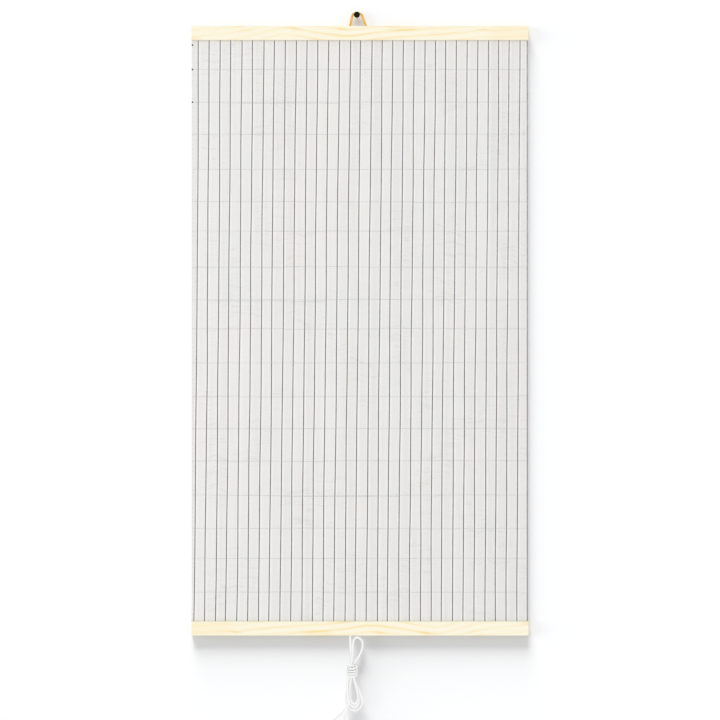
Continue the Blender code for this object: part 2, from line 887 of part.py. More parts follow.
def cord_points():
    """The whole visible cord, from the slat's lower edge to the plug."""
    down = [cord_exit + Vector(place) for place in exit_route]
    entry = through([*down, lane_place(0, -1, 0), lane_place(0, -1, -knot_height / 2)], 3)
    points = list(entry)
    for row in range(row_count):
        points += hanging_strands(row)
        points.append(lane_place(row, 1, -knot_height / 2))
        if row < row_count - 1:
            points += rising_strands(row)
            points.append(lane_place(row + 1, -1, -knot_height / 2))
    last = lane_place(row_count - 1, 1, 0)
    over = [last + cord_lane * Vector(shares) for shares in wrap_entry_shares]
    steps = round(wrap_turn / (2 * pi) * points_per_turn)
    turns = [wrap_point(wrap_start_angle - wrap_turn * step / steps) for step in range(1, steps + 1)]
    away = [cord_exit + Vector(place) for place in plug_route]
    lead_in = through([*over, *turns[:2]], 2)
    lead_out = through([*turns[-2:], *away], 3)
    return [*points, *lead_in[:-1], *turns[2:-2], *lead_out]


def least_gap(points):
    """The smallest distance between the cord's surfaces where it passes itself."""
    total = lengths_along(points)[-1]
    step = cord_radius / 2
    places = np.array(spaced(points, 0, total, step))
    nearest = total
    skip = round(2.5 * cord_radius * pi / step)
    for offset in range(skip, len(places)):
        distances = np.linalg.norm(places[offset:] - places[:-offset], axis=1)
        nearest = min(nearest, distances.min())
    return nearest - 2 * cord_radius


def cord_pieces():
    points = cord_points()
    total = lengths_along(points)[-1]
    hank_end = total - plug_cord_length
    sparse = 3 * cord_radius
    power = spaced(points, seat_gap, power_cord_length, sparse)
    hank = between(points, power_cord_length + seat_gap, hank_end, cord_radius / 2)
    lead = spaced(points, hank_end + seat_gap, total - seat_gap, sparse)
    print(f"cord length {total:.3f} m, hank points {len(hank)}, least gap {1000 * least_gap(points):.2f} mm")
    return [
        tube("power_cord", power, cord_radius, 2, white_cord()),
        tube("cord_hank", hank, cord_radius, 1, white_cord()),
        tube("plug_cord", lead, cord_radius, 2, white_cord()),
    ]


plug_axis = Vector((-sin(plug_lean), 0, -cos(plug_lean)))
plug_side = Vector((cos(plug_lean), 0, -sin(plug_lean)))
plug_start = cord_exit + Vector(plug_route[-1])


def plug_body():
    shape = bmesh.new()
    roundness = 2 / plug_squareness
    rings = []
    for along, width_share, thickness_share in plug_shares:
        centre = plug_start + plug_axis * along * plug_length
        ring = []
        for step in range(plug_sides):
            angle = 2 * pi * step / plug_sides
            across = width_share * plug_half_width * signed_power(cos(angle), roundness)
            out = thickness_share * plug_half_thickness * signed_power(sin(angle), roundness)
            ring.append(shape.verts.new(centre + plug_side * across + Vector((0, out, 0))))
        rings.append(ring)
    for near, far in zip(rings, rings[1:]):
        join_rings(shape, near, far)
    shape.faces.new(rings[0])
    shape.faces.new(rings[-1])
    return solid("plug_body", shape, white_plastic(), round_piece=True)


def pin_start(side):
    """Where a pin leaves the plug's face."""
    return plug_start + plug_axis * plug_length + plug_side * side * plug_pin_spacing / 2


def plug_socket(name, side):
    radius = plug_pin_neck_radius + seat_gap
    floor = -plug_pin_socket_depth - seat_gap
    profile = [(floor, 0), (floor, radius), (overrun, radius), (overrun, 0)]
    return turned(name, profile, pin_start(side), plug_axis, small_sides, white_plastic())


def plug_pin(name, side):
    neck_end = 2 * seat_gap + sleeve_length
    profile = [
        (-plug_pin_socket_depth, 0),
        (-plug_pin_socket_depth, plug_pin_neck_radius),
        (neck_end, plug_pin_neck_radius),
        (neck_end, plug_pin_radius),
        (plug_pin_length - plug_pin_tip_length, plug_pin_radius),
        (plug_pin_length, plug_pin_radius - plug_pin_tip_length),
        (plug_pin_length, 0),
    ]
    return turned(name, profile, pin_start(side), plug_axis, small_sides, nickel())


def pin_sleeve(name, side):
    inner = plug_pin_neck_radius + sleeve_clearance
    outer = inner + sleeve_wall
    end = seat_gap + sleeve_length
    profile = [(seat_gap, inner), (seat_gap, outer), (end, outer), (end, inner)]
    return turned(name, profile, pin_start(side), plug_axis, small_sides, black_plastic(), hollow=True)


def slat_screws(side, front, back, tail, edge_z, inward):
    """Four countersunk screws from the back, with their holes through the back strip, hem and front strip."""
    screws = []
    for number, place in enumerate(screw_places(edge_z, inward), start=1):
        hole = screw_hole(f"{side}_screw_hole_{number}", place)
        for piece in (front, back, tail):
            cut(piece, hole)
        screws.append(slat_screw(f"{side}_screw_{number}", place))
    return screws


def top_slat(parent):
    front, back = slat_strips("top", top_edge_z, slat_top_z)
    tail = film_tail("film_tail_top", top_edge_z, 1)
    screws = slat_screws("top", front, back, tail, top_edge_z, 1)
    ends = []
    for side, x in (("left", -loop_left_reach), ("right", loop_right_reach)):
        pocket = loop_pocket(f"loop_pocket_{side}", x)
        cut(front, pocket)
        cut(back, pocket)
        ends.append(loop_end(f"loop_end_{side}", x))
    hang(parent, front, back, tail, busbar_top(), *screws, *ends)


def film(parent):
    front = film_sheet("film_front", (film_front_y, film_front_y + sheet_thickness))
    back = film_sheet("film_back", (film_back_y - sheet_thickness, film_back_y))
    hang(parent, front, back, heating_mesh(), return_lead())


def bottom_slat(parent):
    front, back = slat_strips("bottom", slat_bottom_z, bottom_edge_z)
    tail = film_tail("film_tail_bottom", bottom_edge_z, -1)
    tab_room = tab_width / 2 + seat_gap
    lead_room = return_lead_x - return_lead_width / 2 - seat_gap
    cut(tail, hem_notch("tab_notch", tab_x() - tab_room, tab_x() + tab_room))
    cut(tail, hem_notch("lead_notch", lead_room, right_x + overrun))
    channel = wiring_channel()
    hole = exit_hole()
    cut(front, channel, hole)
    cut(back, channel, hole)
    screws = slat_screws("bottom", front, back, tail, bottom_edge_z, -1)
    hang(parent, front, back, tail, busbar_bottom(), return_lead_tail(), *screws)


def wiring(parent, floor_strip):
    crimps = [crimp("return_crimp", return_crimp_x), crimp("busbar_crimp", busbar_crimp_x)]
    hang(parent, cord_inner_end(), neutral_lead(), live_lead(), cutout_lead(), thermal_cutout(), *crimps)
    clamp = cord_clamp()
    for side, name in ((-1, "left"), (1, "right")):
        hole = clamp_hole(f"clamp_hole_{name}", side)
        cut(clamp, hole)
        cut(floor_strip, hole)
        hang(parent, clamp_screw(f"clamp_screw_{name}", side))
    hang(parent, clamp)


def plug(parent):
    body = plug_body()
    for side, name in ((-1, "left"), (1, "right")):
        cut(body, plug_socket(f"plug_socket_{name}", side))
        hang(parent, plug_pin(f"plug_pin_{name}", side), pin_sleeve(f"pin_sleeve_{name}", side))
    hang(parent, body)


def build():
    clear_scene()
    pin_head()
    pin_shank()
    loop_pivot = pivot("loop_pivot", (0, film_mid_y, 0), None)
    slat_pivot = pivot("slat_pivot", (panel_offset, film_mid_y, tilt_axis_z), loop_pivot)
    film_pivot = pivot("film_pivot", (panel_offset, film_mid_y, film_top_z), slat_pivot)
    foot_pivot = pivot("foot_pivot", (panel_offset, film_mid_y, film_bottom_z), film_pivot)
    hang(loop_pivot, hanging_loop())
    top_slat(slat_pivot)
    film(film_pivot)
    bottom_slat(foot_pivot)
    wiring(foot_pivot, bpy.data.objects["bottom_slat_front"])
    hang(foot_pivot, *cord_pieces())
    plug(foot_pivot)


build()
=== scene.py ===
"""The infrared heating panel's looks: film, yarns, pine slats, hanging loop, mains lead and plug.

Metres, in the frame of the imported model: the pin's shank enters the wall at the origin, the wall is the plane
y = 0, the panel's front faces -Y and +Z is up. Sizes, places and colours come first, then the shapes, the
finishes and the studio.
"""

from math import cos, pi, radians, sin

import bmesh
import bpy
import numpy as np
from mathutils import Matrix, Vector


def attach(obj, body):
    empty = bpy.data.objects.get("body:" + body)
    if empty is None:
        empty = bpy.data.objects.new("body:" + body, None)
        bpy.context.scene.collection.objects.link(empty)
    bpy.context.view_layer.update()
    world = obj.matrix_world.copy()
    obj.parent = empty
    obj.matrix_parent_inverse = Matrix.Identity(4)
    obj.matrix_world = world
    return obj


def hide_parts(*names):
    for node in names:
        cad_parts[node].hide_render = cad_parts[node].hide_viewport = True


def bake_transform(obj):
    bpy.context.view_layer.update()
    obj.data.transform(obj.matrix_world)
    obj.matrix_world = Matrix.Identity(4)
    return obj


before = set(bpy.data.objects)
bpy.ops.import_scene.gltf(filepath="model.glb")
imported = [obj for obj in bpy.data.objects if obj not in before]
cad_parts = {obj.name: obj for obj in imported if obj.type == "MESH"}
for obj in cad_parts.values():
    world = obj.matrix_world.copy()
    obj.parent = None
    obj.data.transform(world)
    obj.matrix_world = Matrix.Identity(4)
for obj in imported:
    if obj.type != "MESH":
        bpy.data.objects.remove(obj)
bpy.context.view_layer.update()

# The panel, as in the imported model
panel_width = 0.570
panel_offset = 0.0052
film_height = 0.9838
slat_height = 0.024
slat_front_y = -0.011
left_x = panel_offset - panel_width / 2
right_x = panel_offset + panel_width / 2
film_mid_y = -0.005
hinge_drop = 0.00095
slat_top_z = -0.0191
top_edge_z = slat_top_z - slat_height
bottom_edge_z = top_edge_z - film_height
slat_bottom_z = bottom_edge_z - slat_height
film_top_z = top_edge_z - hinge_drop
film_bottom_z = bottom_edge_z + hinge_drop
film_split_z = (film_top_z + film_bottom_z) / 2
tilt_axis_z = -0.0166

# Film and yarns
film_half_thickness = 0.0004
film_seat = 0.0004
hinge_stretch = 0.030
hinge_row_step = 0.003
film_row_step = 0.014
film_edge_margin = 0.0003
back_relief_share = 0.7
edge_strip_reach = 0.02
yarn_radius = 0.00084
yarn_sides = 8
yarn_pitch = 0.01817
first_yarn_inset = 0.0125
yarn_lean = 0.0080
yarn_bow = 0.0014
yarn_pinch = 0.0032
yarn_spread = 0.0017
yarn_count = 31
yarn_jitter = 0.00055
yarn_sway = 0.00035
yarn_sway_rates = (7, 17)
ripple_rate_share = 2.3
ripple_share = 0.5
yarn_seed = 4
return_lead_inset = 0.0016
# The film beside a yarn: distance from the yarn's middle and height over the flat film
lip_profile = (
    (-0.0040, 0.0),
    (-0.0017, 0.00006),
    (-0.0012, 0.00022),
    (-0.0008, 0.00010),
    (0.0, 0.0),
    (0.0008, 0.00012),
    (0.0012, 0.00027),
    (0.0018, 0.00010),
    (0.0044, 0.0),
)

# Cross threads, knots and stitches
thread_radius = 0.00024
thread_sides = 6
thread_count = 17
thread_inset = 0.048
thread_jitter = 0.0035
thread_seed = 11
thread_end_inset = 0.0005
thread_lift = 0.00010
thread_hop = 0.00042
thread_shoulder = 0.0015
thread_shoulder_lift = 0.00016
thread_sag = 0.00008
thread_wander = 0.00016
thread_middle_wander = 0.00015
thread_return_share = 0.15
thread_slip = 0.0009
thread_slip_chance = 0.07
weave_seed = 23
doubled_gap = 0.0024
doubled_every = 6
doubled_starts = (4, 70)
doubled_points = 44
knot_radius = 0.00135
knot_inset = 0.0013
knot_lift = 0.00045
knot_stretch_shares = (1.05, 0.5, 1.0)
first_knot_drop = 0.0068
stitch_pitch = 0.0078
stitch_jitter_share = 0.12
stitch_seed = 31
stitch_radius = 0.0006
stitch_inset = 0.0012
stitch_stretch_shares = (1.5, 0.5, 0.7)
lump_share = 0.18
lump_rates = (3100, 2700, 2200)

# Hanging loop
loop_radius = 0.0022
loop_apex_z = 0.0034
loop_left_reach = 0.01095
loop_right_reach = 0.01475
# Each leg from the slat up to the pin: share of its reach and share of the loop's height
loop_left_shares = ((1, 0), (0.93, 0.18), (0.82, 0.5), (0.72, 0.74), (0.6, 0.88), (0.42, 0.965), (0.2, 0.995))
loop_right_shares = ((1, 0), (0.92, 0.16), (0.75, 0.5), (0.6, 0.78), (0.47, 0.91), (0.3, 0.97), (0.14, 0.997))
loop_samples = 8
loop_step = 0.0004
loop_strands = 3
loop_strand_share = 0.52
loop_sides = 12
loop_lay_length = 0.0085

# Power cord and its hank
cord_radius = 0.0019
cord_flatness = 0.86
cord_sides = 18
cord_lobe_share = 1.08
cord_groove_share = 0.16
cord_groove_power = 6
cord_step = 0.0016
tightest_bend = 0.0046
easing_rounds = 60
straight_area = 1e-12
turn_clearance = 0.0006
knot_side = 0.0033
knot_drop = 0.0486
back_row_distance = 0.0025
row_count = 3
points_per_turn = 24
# From the slat's lower edge down to the hank, as distances from the cord's exit
exit_route = [
    (0, 0, 0),
    (0, 0, -0.004),
    (0.0002, -0.0004, -0.014),
    (0.0007, -0.0013, -0.026),
    (0.0011, -0.0022, -0.038),
]
hanging_loop_depth = 0.0565
hanging_loop_width = 0.0123
hanging_loop_shift = 0.0043
hanging_loop_depth_shares = (0.91, 1, 0.79)
hanging_loop_width_shares = (0.63, 1, 0.46)
hanging_loop_shift_shares = (0.79, 1, 0.88)
loop_fullness_power = 1.5
rising_loop_height = 0.0460
rising_loop_width = 0.0072
rising_loop_shift = 0.0365
rising_loop_shift_power = 1.25
rising_loop_lean_back = 0.0285
wrap_squareness = 2.6
wrap_reach_share = 1.19
wrap_start_angle = radians(-128)
wrap_end_angle = radians(-120)
wrap_count = 4
# Over the bundle into the first turn, in lanes of cord from the last strand
wrap_entry_shares = (
    (0, 0, -0.5),
    (0, 0, 0.1),
    (0.03, -0.32, 0.66),
    (-0.14, -0.82, 0.88),
    (-0.45, -1.18, 0.68),
    (-0.76, -1.27, 0.22),
    (-1.05, -1.24, -0.16),
)
# From the last turn down to the plug, as distances from the cord's exit
plug_route = [
    (-0.0037, -0.0156, -0.0706),
    (-0.0050, -0.0156, -0.0761),
    (-0.0048, -0.0155, -0.0891),
    (-0.0040, -0.0155, -0.1000),
    (-0.0029, -0.0155, -0.1080),
    (-0.0025, -0.0155, -0.1130),
    (-0.0034, -0.0155, -0.1166),
    (-0.0059, -0.0155, -0.1211),
]
exit_left_of_middle = 0.0164
cord_exit = Vector((panel_offset - exit_left_of_middle, film_mid_y, slat_bottom_z))
cord_lane = 2 * cord_radius + turn_clearance
wrap_width = cord_lane / 2 + wrap_reach_share * cord_lane
wrap_depth = (row_count - 1) * cord_lane / 2 + wrap_reach_share * cord_lane
wrap_turn = wrap_count * 2 * pi + wrap_start_angle - wrap_end_angle
knot_height = wrap_turn / (2 * pi) * cord_lane + 2 * cord_radius
knot = cord_exit + Vector((knot_side, -back_row_distance, -knot_drop))

# Plug
plug_lean = radians(29)
plug_length = 0.050
plug_half_width = 0.0176
plug_half_thickness = 0.00685
plug_squareness = 3.2
plug_sides = 64
plug_rings = 71
plug_rim_ring_shares = (0.985, 0.993)
plug_samples = 6
# The plug's outline from its neck: place along it, width and thickness
plug_shares = (
    (0, 0.155, 0.394),
    (0.20, 0.245, 0.526),
    (0.32, 0.352, 0.672),
    (0.50, 0.568, 0.876),
    (0.66, 0.88, 1),
    (0.74, 1, 1),
    (0.82, 0.977, 1),
    (0.97, 0.78, 0.97),
    (1, 0.74, 0.90),
)
neck_start_share = 0.03
neck_end_share = 0.30
neck_ease_shares = (0.03, 0.05)
neck_groove_share = 0.10
neck_groove_pitch_share = 0.062
rim_start_share = 0.975
rim_depth_share = 0.05
dish_middle_share = 0.70
dish_half_length_share = 0.17
dish_half_width = 0.0105
dish_edge_shares = (0.7, 0.5)
dish_edge_power = 0.3
dish_depth = 0.0007
dish_rib_height = 0.00055
dish_rib_pitch_share = 0.068
contact_spacing = 0.0186
contact_root = 0.004
contact_length = 0.019
contact_radius = 0.002
contact_core_radius = 0.0013
contact_tip_steps = 8
contact_tip_power = 0.8
contact_sides = 32
contact_edge = 0.0001
sleeve_length = 0.0103
sleeve_radius = 0.0019
plug_axis = Vector((-sin(plug_lean), 0, -cos(plug_lean)))
plug_side = Vector((cos(plug_lean), 0, -sin(plug_lean)))
plug_start = cord_exit + Vector(plug_route[-1])

# Wall pin and screws
pin_head_radius = 0.00515
pin_head_thickness = 0.004
pin_head_stand_off = 0.008
pin_head_dome_share = 0.5
pin_head_roundness = 0.7
pin_head_dome_steps = 12
pin_head_sides = 48
# Behind the head: distance forward and inward of the rim, then the collar's distance back and radius
pin_head_rim_steps = ((0.0005, 0), (0.00015, 0.0002), (0, 0.0006))
collar_profile = ((0, 0.0021), (0.0009, 0.0019), (0.0011, 0.0012), (0.0011, 0))
shank_radius = 0.0009
shank_front = 0.009
shank_straight = 0.0115
shank_depth = 0.015
shank_point = (0.0128, 0.0007)
shank_sides = 24
screw_shares = (-0.42, -0.16, 0.16, 0.42)
screw_edge_distance = 0.0082
screw_sink = 0.0002
screw_sides = 32
screw_rim_radius = 0.00235
screw_head_radius = 0.0026
screw_head_edge = 0.00015
screw_neck_radius = 0.00125
screw_neck_depth = 0.0015
screw_thread_depth = 0.0074
screw_length = 0.0082
recess_half_width = 0.00028
recess_reach = 0.00135
recess_depth = 0.00085
recess_floor_share = 0.55

# Shading, camera and studio
smooth_angle = radians(40)
blunt_angle = radians(50)
camera_place = (0.00525, -3.3947, -0.5845)
camera_lens = 100
camera_sensor = 36
camera_range = (0.05, 60)
wall_y = 0.0002
wall_half_width = 4
wall_top_z = 3
floor_z = -1.62
floor_half_width = 14
room_light = 0.72
# Each lamp's direction from the panel, strength, width in degrees and what it is kept to
lamps = (
    ("wall_window", (-0.14, -0.26, 0.955), 5.90, 28, "wall_alone"),
    ("wall_side", (-0.95, -0.28, 0.12), 1.30, 30, "wall_alone"),
    ("panel_front", (-0.22, -0.95, 0.22), 0.66, 50, "all_but_wall"),
    ("panel_low", (0.25, -0.85, -0.46), 0.24, 60, "all_but_wall"),
    ("panel_back", (0.30, 0.90, 0.30), 0.90, 60, "all_but_wall"),
)

# Pine grain: pitch and slope of the rings, then hills with a centre along the slat, a half width and a height
ring_pitch = 0.0116
ring_start = 8.82
ring_slope = 0.0668
ring_rise = 0.0117
ring_depth_slope = 0.8
ring_wander = 0.0025
ring_hills = ((-0.1304, 0.0715, 0.0177), (-0.0174, 0.0474, -0.0059), (0.2054, 0.0195, 0.0034))
clear_level = 0.24
clear_hills = ((-0.015, 0.125, 0.62), (0.150, 0.060, 0.36))
patch_level = 0.12
patch_hills = (
    (-0.197, 0.013, 1),
    (-0.109, 0.016, 1),
    (-0.031, 0.012, 1),
    (0.070, 0.034, 1.15),
    (0.210, 0.016, 1),
)

# The film's bright edges, partly paler film where it lifts off a yarn and partly a painted highlight on the
# lip: from and to, as distances after and before a yarn
lift_highlight_after_yarn = (0.0013, 0.0039)
lift_highlight_before_yarn = (0.0012, 0.0030)
lift_highlight_softness = 0.0005

# Colours
pine_pale = (0.995, 0.935, 0.750)
pine_late = (0.965, 0.775, 0.390)
film_cool = (0.800, 0.796, 0.780)
film_warm = (0.816, 0.800, 0.774)
# Painted shade: darker, warmer film just under the top slat
film_rosy_shade = (0.795, 0.752, 0.735)
# Paler lifted film with a painted highlight, for the lip beside each yarn
film_lifted_highlight = (0.925, 0.925, 0.915)
yarn_violet = (0.050, 0.038, 0.060)
yarn_brown = (0.080, 0.040, 0.040)
# Pale yarn colour, for the paler places and for the painted reflection
yarn_pale_and_reflected = (0.46, 0.41, 0.47)
thread_dark = (0.52, 0.53, 0.53)
thread_light = (0.75, 0.75, 0.75)
gold_deep = (0.84, 0.44, 0.050)
gold_bright = (1.0, 0.68, 0.14)
gold_worn = (1.0, 0.76, 0.22)
white_clean = (0.97, 0.97, 0.965)
white_handled = (0.90, 0.89, 0.87)

# Plastics and yarn knots: colour, handled colour, roughness, fineness of the grain and, for some, the gloss
plastics = {
    "knot": ("knot_black", (0.012, 0.010, 0.012), (0.03, 0.026, 0.03), 0.7, 2400.0),
    "white_cord": ("cord_white", white_clean, white_handled, 0.38, 1500.0),
    "white": ("plastic_white", white_clean, white_handled, 0.34, 2200.0),
    "black": ("plastic_black", (0.004, 0.004, 0.0045), (0.012, 0.012, 0.012), 0.5, 1800.0, 0.12),
    "blue": ("lead_blue", (0.07, 0.19, 0.58), (0.12, 0.2, 0.45), 0.42, 1500.0),
    "brown": ("lead_brown", (0.24, 0.12, 0.06), (0.3, 0.18, 0.1), 0.42, 1500.0),
}

# Metals: colour, dull colour, roughness and how fine the scratches are along x, y and z
metals = {
    "steel": ("steel_zinc", (0.64, 0.64, 0.65), (0.50, 0.51, 0.53), 0.34, (400.0, 2600.0, 400.0)),
    "copper": ("copper_foil", (0.86, 0.44, 0.28), (0.62, 0.33, 0.22), 0.34, (60.0, 900.0, 2600.0)),
    "tin": ("tin_satin", (0.72, 0.72, 0.70), (0.58, 0.58, 0.57), 0.38, (900.0, 900.0, 2000.0)),
    "nickel": ("nickel_plate", (0.76, 0.73, 0.67), (0.66, 0.63, 0.58), 0.26, (1400.0, 1400.0, 500.0)),
}


# The camera

def make_camera():
    """Square on to the panel's front, as the photograph was taken."""
    data = bpy.data.cameras.new("camera")
    data.lens = camera_lens
    data.sensor_width = camera_sensor
    data.clip_start, data.clip_end = camera_range
    camera = bpy.data.objects.new("camera", data)
    bpy.context.collection.objects.link(camera)
    camera.location = camera_place
    camera.rotation_euler = (radians(90), 0, 0)
    bpy.context.scene.camera = camera


# Node trees

class Value:
    """A node's output; arithmetic on it adds Math nodes."""

    def __init__(self, look, socket):
        self.look = look
        self.socket = socket

    def __add__(self, other):
        return self.look.maths("ADD", self, other)

    def __radd__(self, other):
        return self.look.maths("ADD", other, self)

    def __sub__(self, other):
        return self.look.maths("SUBTRACT", self, other)

    def __rsub__(self, other):
        return self.look.maths("SUBTRACT", other, self)

    def __mul__(self, other):
        return self.look.maths("MULTIPLY", self, other)

    def __rmul__(self, other):
        return self.look.maths("MULTIPLY", other, self)

    def __truediv__(self, other):
        return self.look.maths("DIVIDE", self, other)

    def __pow__(self, other):
        return self.look.maths("POWER", self, other)


class Look:
    """A material and the maths in its tree."""

    def __init__(self, name, color, roughness, **constants):
        self.material = bpy.data.materials.new(name)
        self.material.use_nodes = True
        self.material.diffuse_color = (*color, 1)
        self.tree = self.material.node_tree
        self.shader = self.tree.nodes["Principled BSDF"]
        self.output = self.tree.nodes["Material Output"]
        self.feed(self.shader, {"Base Color": (*color, 1), "Roughness": roughness, **constants})

    def feed(self, node, inputs):
        for name, value in inputs.items():
            if isinstance(value, Value):
                self.tree.links.new(value.socket, node.inputs[name])
            else:
                node.inputs[name].default_value = value

    def node(self, kind, settings=None, inputs=None, output=0):
        made = self.tree.nodes.new("ShaderNode" + kind)
        for name, value in (settings or {}).items():
            setattr(made, name, value)
        self.feed(made, inputs or {})
        return Value(self, made.outputs[output])

    def maths(self, operation, *values):
        return self.node("Math", {"operation": operation}, dict(enumerate(values)))

    def place(self):
        return self.node("TexCoord", output="Object")

    def split(self, vector):
        parts = self.tree.nodes.new("ShaderNodeSeparateXYZ")
        self.tree.links.new(vector.socket, parts.inputs[0])
        return [Value(self, output) for output in parts.outputs]

    def join(self, x, y, z):
        return self.node("CombineXYZ", {}, {0: x, 1: y, 2: z})

    def stretched(self, vector, scale):
        return self.node("VectorMath", {"operation": "MULTIPLY"}, {0: vector, 1: scale})

    def noise(self, vector, detail=2.0, roughness=0.5):
        """Smooth noise round 0.5, with one cell for each unit of the vector."""
        inputs = {"Vector": vector, "Scale": 1.0, "Detail": detail, "Roughness": roughness}
        return self.node("TexNoise", {}, inputs)

    def step(self, value, low, high, start=0.0, end=1.0):
        """Eased from start below low to end above high."""
        inputs = {"Value": value, "From Min": low, "From Max": high, "To Min": start, "To Max": end}
        return self.node("MapRange", {"interpolation_type": "SMOOTHSTEP"}, inputs)

    def hills(self, value, base, hills):
        """The base with smooth hills on it, each given by its centre, half width and height."""
        total = base
        for centre, width, height in hills:
            distance = (value - centre) / width
            total = total + (distance * distance + 1.0) ** -2.0 * height
        return total

    def band(self, value, low, high, soft):
        """1 from low to high with soft ends, 0 elsewhere."""
        return self.step(value, low - soft, low + soft) * self.step(value, high - soft, high + soft, 1.0, 0.0)

    def mix(self, factor, first, second):
        """A colour between two; each is a colour or another mix."""
        inputs = {0: factor, 6: self.solid(first), 7: self.solid(second)}
        return self.node("Mix", {"data_type": "RGBA"}, inputs, 2)

    def shade(self, color, amount):
        """A colour times a value round 1."""
        grey = self.join(amount, amount, amount)
        inputs = {0: 1.0, 6: self.solid(color), 7: grey}
        return self.node("Mix", {"data_type": "RGBA", "blend_type": "MULTIPLY"}, inputs, 2)

    def solid(self, color):
        return color if isinstance(color, Value) else (*color, 1)

    def bump(self, height, distance, strength):
        return self.node("Bump", {}, {"Height": height, "Distance": distance, "Strength": strength})

    def finish(self, **sockets):
        names = {"color": "Base Color", "roughness": "Roughness", "normal": "Normal"}
        self.feed(self.shader, {names[key]: value for key, value in sockets.items()})
        return self.material


class Shaper:
    """A geometry tree with named inputs; build() runs it on a mesh and returns the plain mesh."""

    def __init__(self, name, inputs):
        self.tree = bpy.data.node_groups.new(name, "GeometryNodeTree")
        self.sockets = {}
        self.tree.interface.new_socket("Geometry", in_out="OUTPUT", socket_type="NodeSocketGeometry")
        for label, kind in {"Geometry": "Geometry", **inputs}.items():
            made = self.tree.interface.new_socket(label, in_out="INPUT", socket_type="NodeSocket" + kind)
            self.sockets[label] = made.identifier
        self.start = self.tree.nodes.new("NodeGroupInput")
        self.end = self.tree.nodes.new("NodeGroupOutput")

    def given(self, label):
        return self.start.outputs[label]

    def node(self, kind, settings=None, inputs=None, output=0):
        made = self.tree.nodes.new(kind)
        for name, value in (settings or {}).items():
            setattr(made, name, value)
        for name, value in (inputs or {}).items():
            if isinstance(value, bpy.types.NodeSocket):
                self.tree.links.new(value, made.inputs[name])
            else:
                made.inputs[name].default_value = value
        return made.outputs[output]

    def close(self, geometry):
        """Ends the tree with real geometry in the given finish."""
        real = self.node("GeometryNodeRealizeInstances", {}, {"Geometry": geometry})
        inputs = {"Geometry": real, "Material": self.given("Finish")}
        finished = self.node("GeometryNodeSetMaterial", {}, inputs)
        self.tree.links.new(finished, self.end.inputs[0])

    def build(self, name, mesh, values):
        carrier = bpy.data.objects.new(name + "_guide", mesh)
        bpy.context.collection.objects.link(carrier)
        steps = carrier.modifiers.new("shape", "NODES")
        steps.node_group = self.tree
        for label, value in values.items():
            steps[self.sockets[label]] = value
        bpy.context.view_layer.update()
        graph = bpy.context.evaluated_depsgraph_get()
        result = bpy.data.meshes.new_from_object(carrier.evaluated_get(graph))
        result.name = name
        bpy.data.objects.remove(carrier, do_unlink=True)
        return result


def strand_shaper():
    """Round strands along the edges of a mesh."""
    shaper = Shaper("strands", {"Radius": "Float", "Sides": "Int", "Finish": "Material"})
    path = shaper.node("GeometryNodeMeshToCurve", {}, {"Mesh": shaper.given("Geometry")})
    inputs = {"Resolution": shaper.given("Sides"), "Radius": shaper.given("Radius")}
    section = shaper.node("GeometryNodeCurvePrimitiveCircle", {}, inputs)
    inputs = {"Curve": path, "Profile Curve": section, "Fill Caps": True}
    shaper.close(shaper.node("GeometryNodeCurveToMesh", {}, inputs))
    return shaper


def copy_shaper():
    """One object set on every point of a mesh."""
    shaper = Shaper("copies", {"Piece": "Object", "Finish": "Material"})
    template = shaper.node("GeometryNodeObjectInfo", {}, {"Object": shaper.given("Piece")}, "Geometry")
    inputs = {"Points": shaper.given("Geometry"), "Instance": template}
    shaper.close(shaper.node("GeometryNodeInstanceOnPoints", {}, inputs))
    return shaper


strands = strand_shaper()
copies = copy_shaper()


# Meshes

def wire(paths):
    """A mesh of edges along each path."""
    mesh = bpy.data.meshes.new("wire")
    points = []
    edges = []
    for path in paths:
        first = len(points)
        points += [tuple(point) for point in path]
        edges += [(at, at + 1) for at in range(first, len(points) - 1)]
    mesh.from_pydata(points, edges, [])
    return mesh


def dots(places):
    """A mesh of points alone."""
    mesh = bpy.data.meshes.new("dots")
    mesh.from_pydata([tuple(place) for place in places], [], [])
    return mesh


def piece(name, mesh, look, angle=smooth_angle):
    """A finished piece with its place in its mesh."""
    obj = bpy.data.objects.new(name, mesh)
    bpy.context.collection.objects.link(obj)
    mesh.materials.clear()
    mesh.materials.append(look)
    mesh.shade_smooth()
    mesh.set_sharp_from_angle(angle=angle)
    return obj


def strand_piece(name, paths, radius, sides, look):
    """One round strand along each path."""
    mesh = strands.build(name, wire(paths), {"Radius": radius, "Sides": sides, "Finish": look})
    return piece(name, mesh, look)


def copied_piece(name, places, pattern, look):
    """One copy of the pattern, a mesh, at each place."""
    template = bpy.data.objects.new(name + "_template", pattern)
    mesh = copies.build(name, dots(places), {"Piece": template, "Finish": look})
    bpy.data.objects.remove(template, do_unlink=True)
    return piece(name, mesh, look)


def mesh_of(shape, name):
    """The shape as a mesh whose faces point out."""
    bmesh.ops.recalc_face_normals(shape, faces=shape.faces)
    mesh = bpy.data.meshes.new(name)
    shape.to_mesh(mesh)
    shape.free()
    return mesh


def join_rings(shape, near, far):
    """Faces between two rings; a ring of one point makes a tip."""
    count = max(len(near), len(far))
    for step in range(count):
        after = (step + 1) % count
        corners = [near[step % len(near)], near[after % len(near)]]
        corners += [far[after % len(far)], far[step % len(far)]]
        shape.faces.new(list(dict.fromkeys(corners)))


def skin(shape, rings):
    """Joins the rings in their order and closes both ends."""
    for near, far in zip(rings, rings[1:]):
        join_rings(shape, near, far)
    for ring in (rings[0], rings[-1]):
        if len(ring) > 1:
            shape.faces.new(ring)


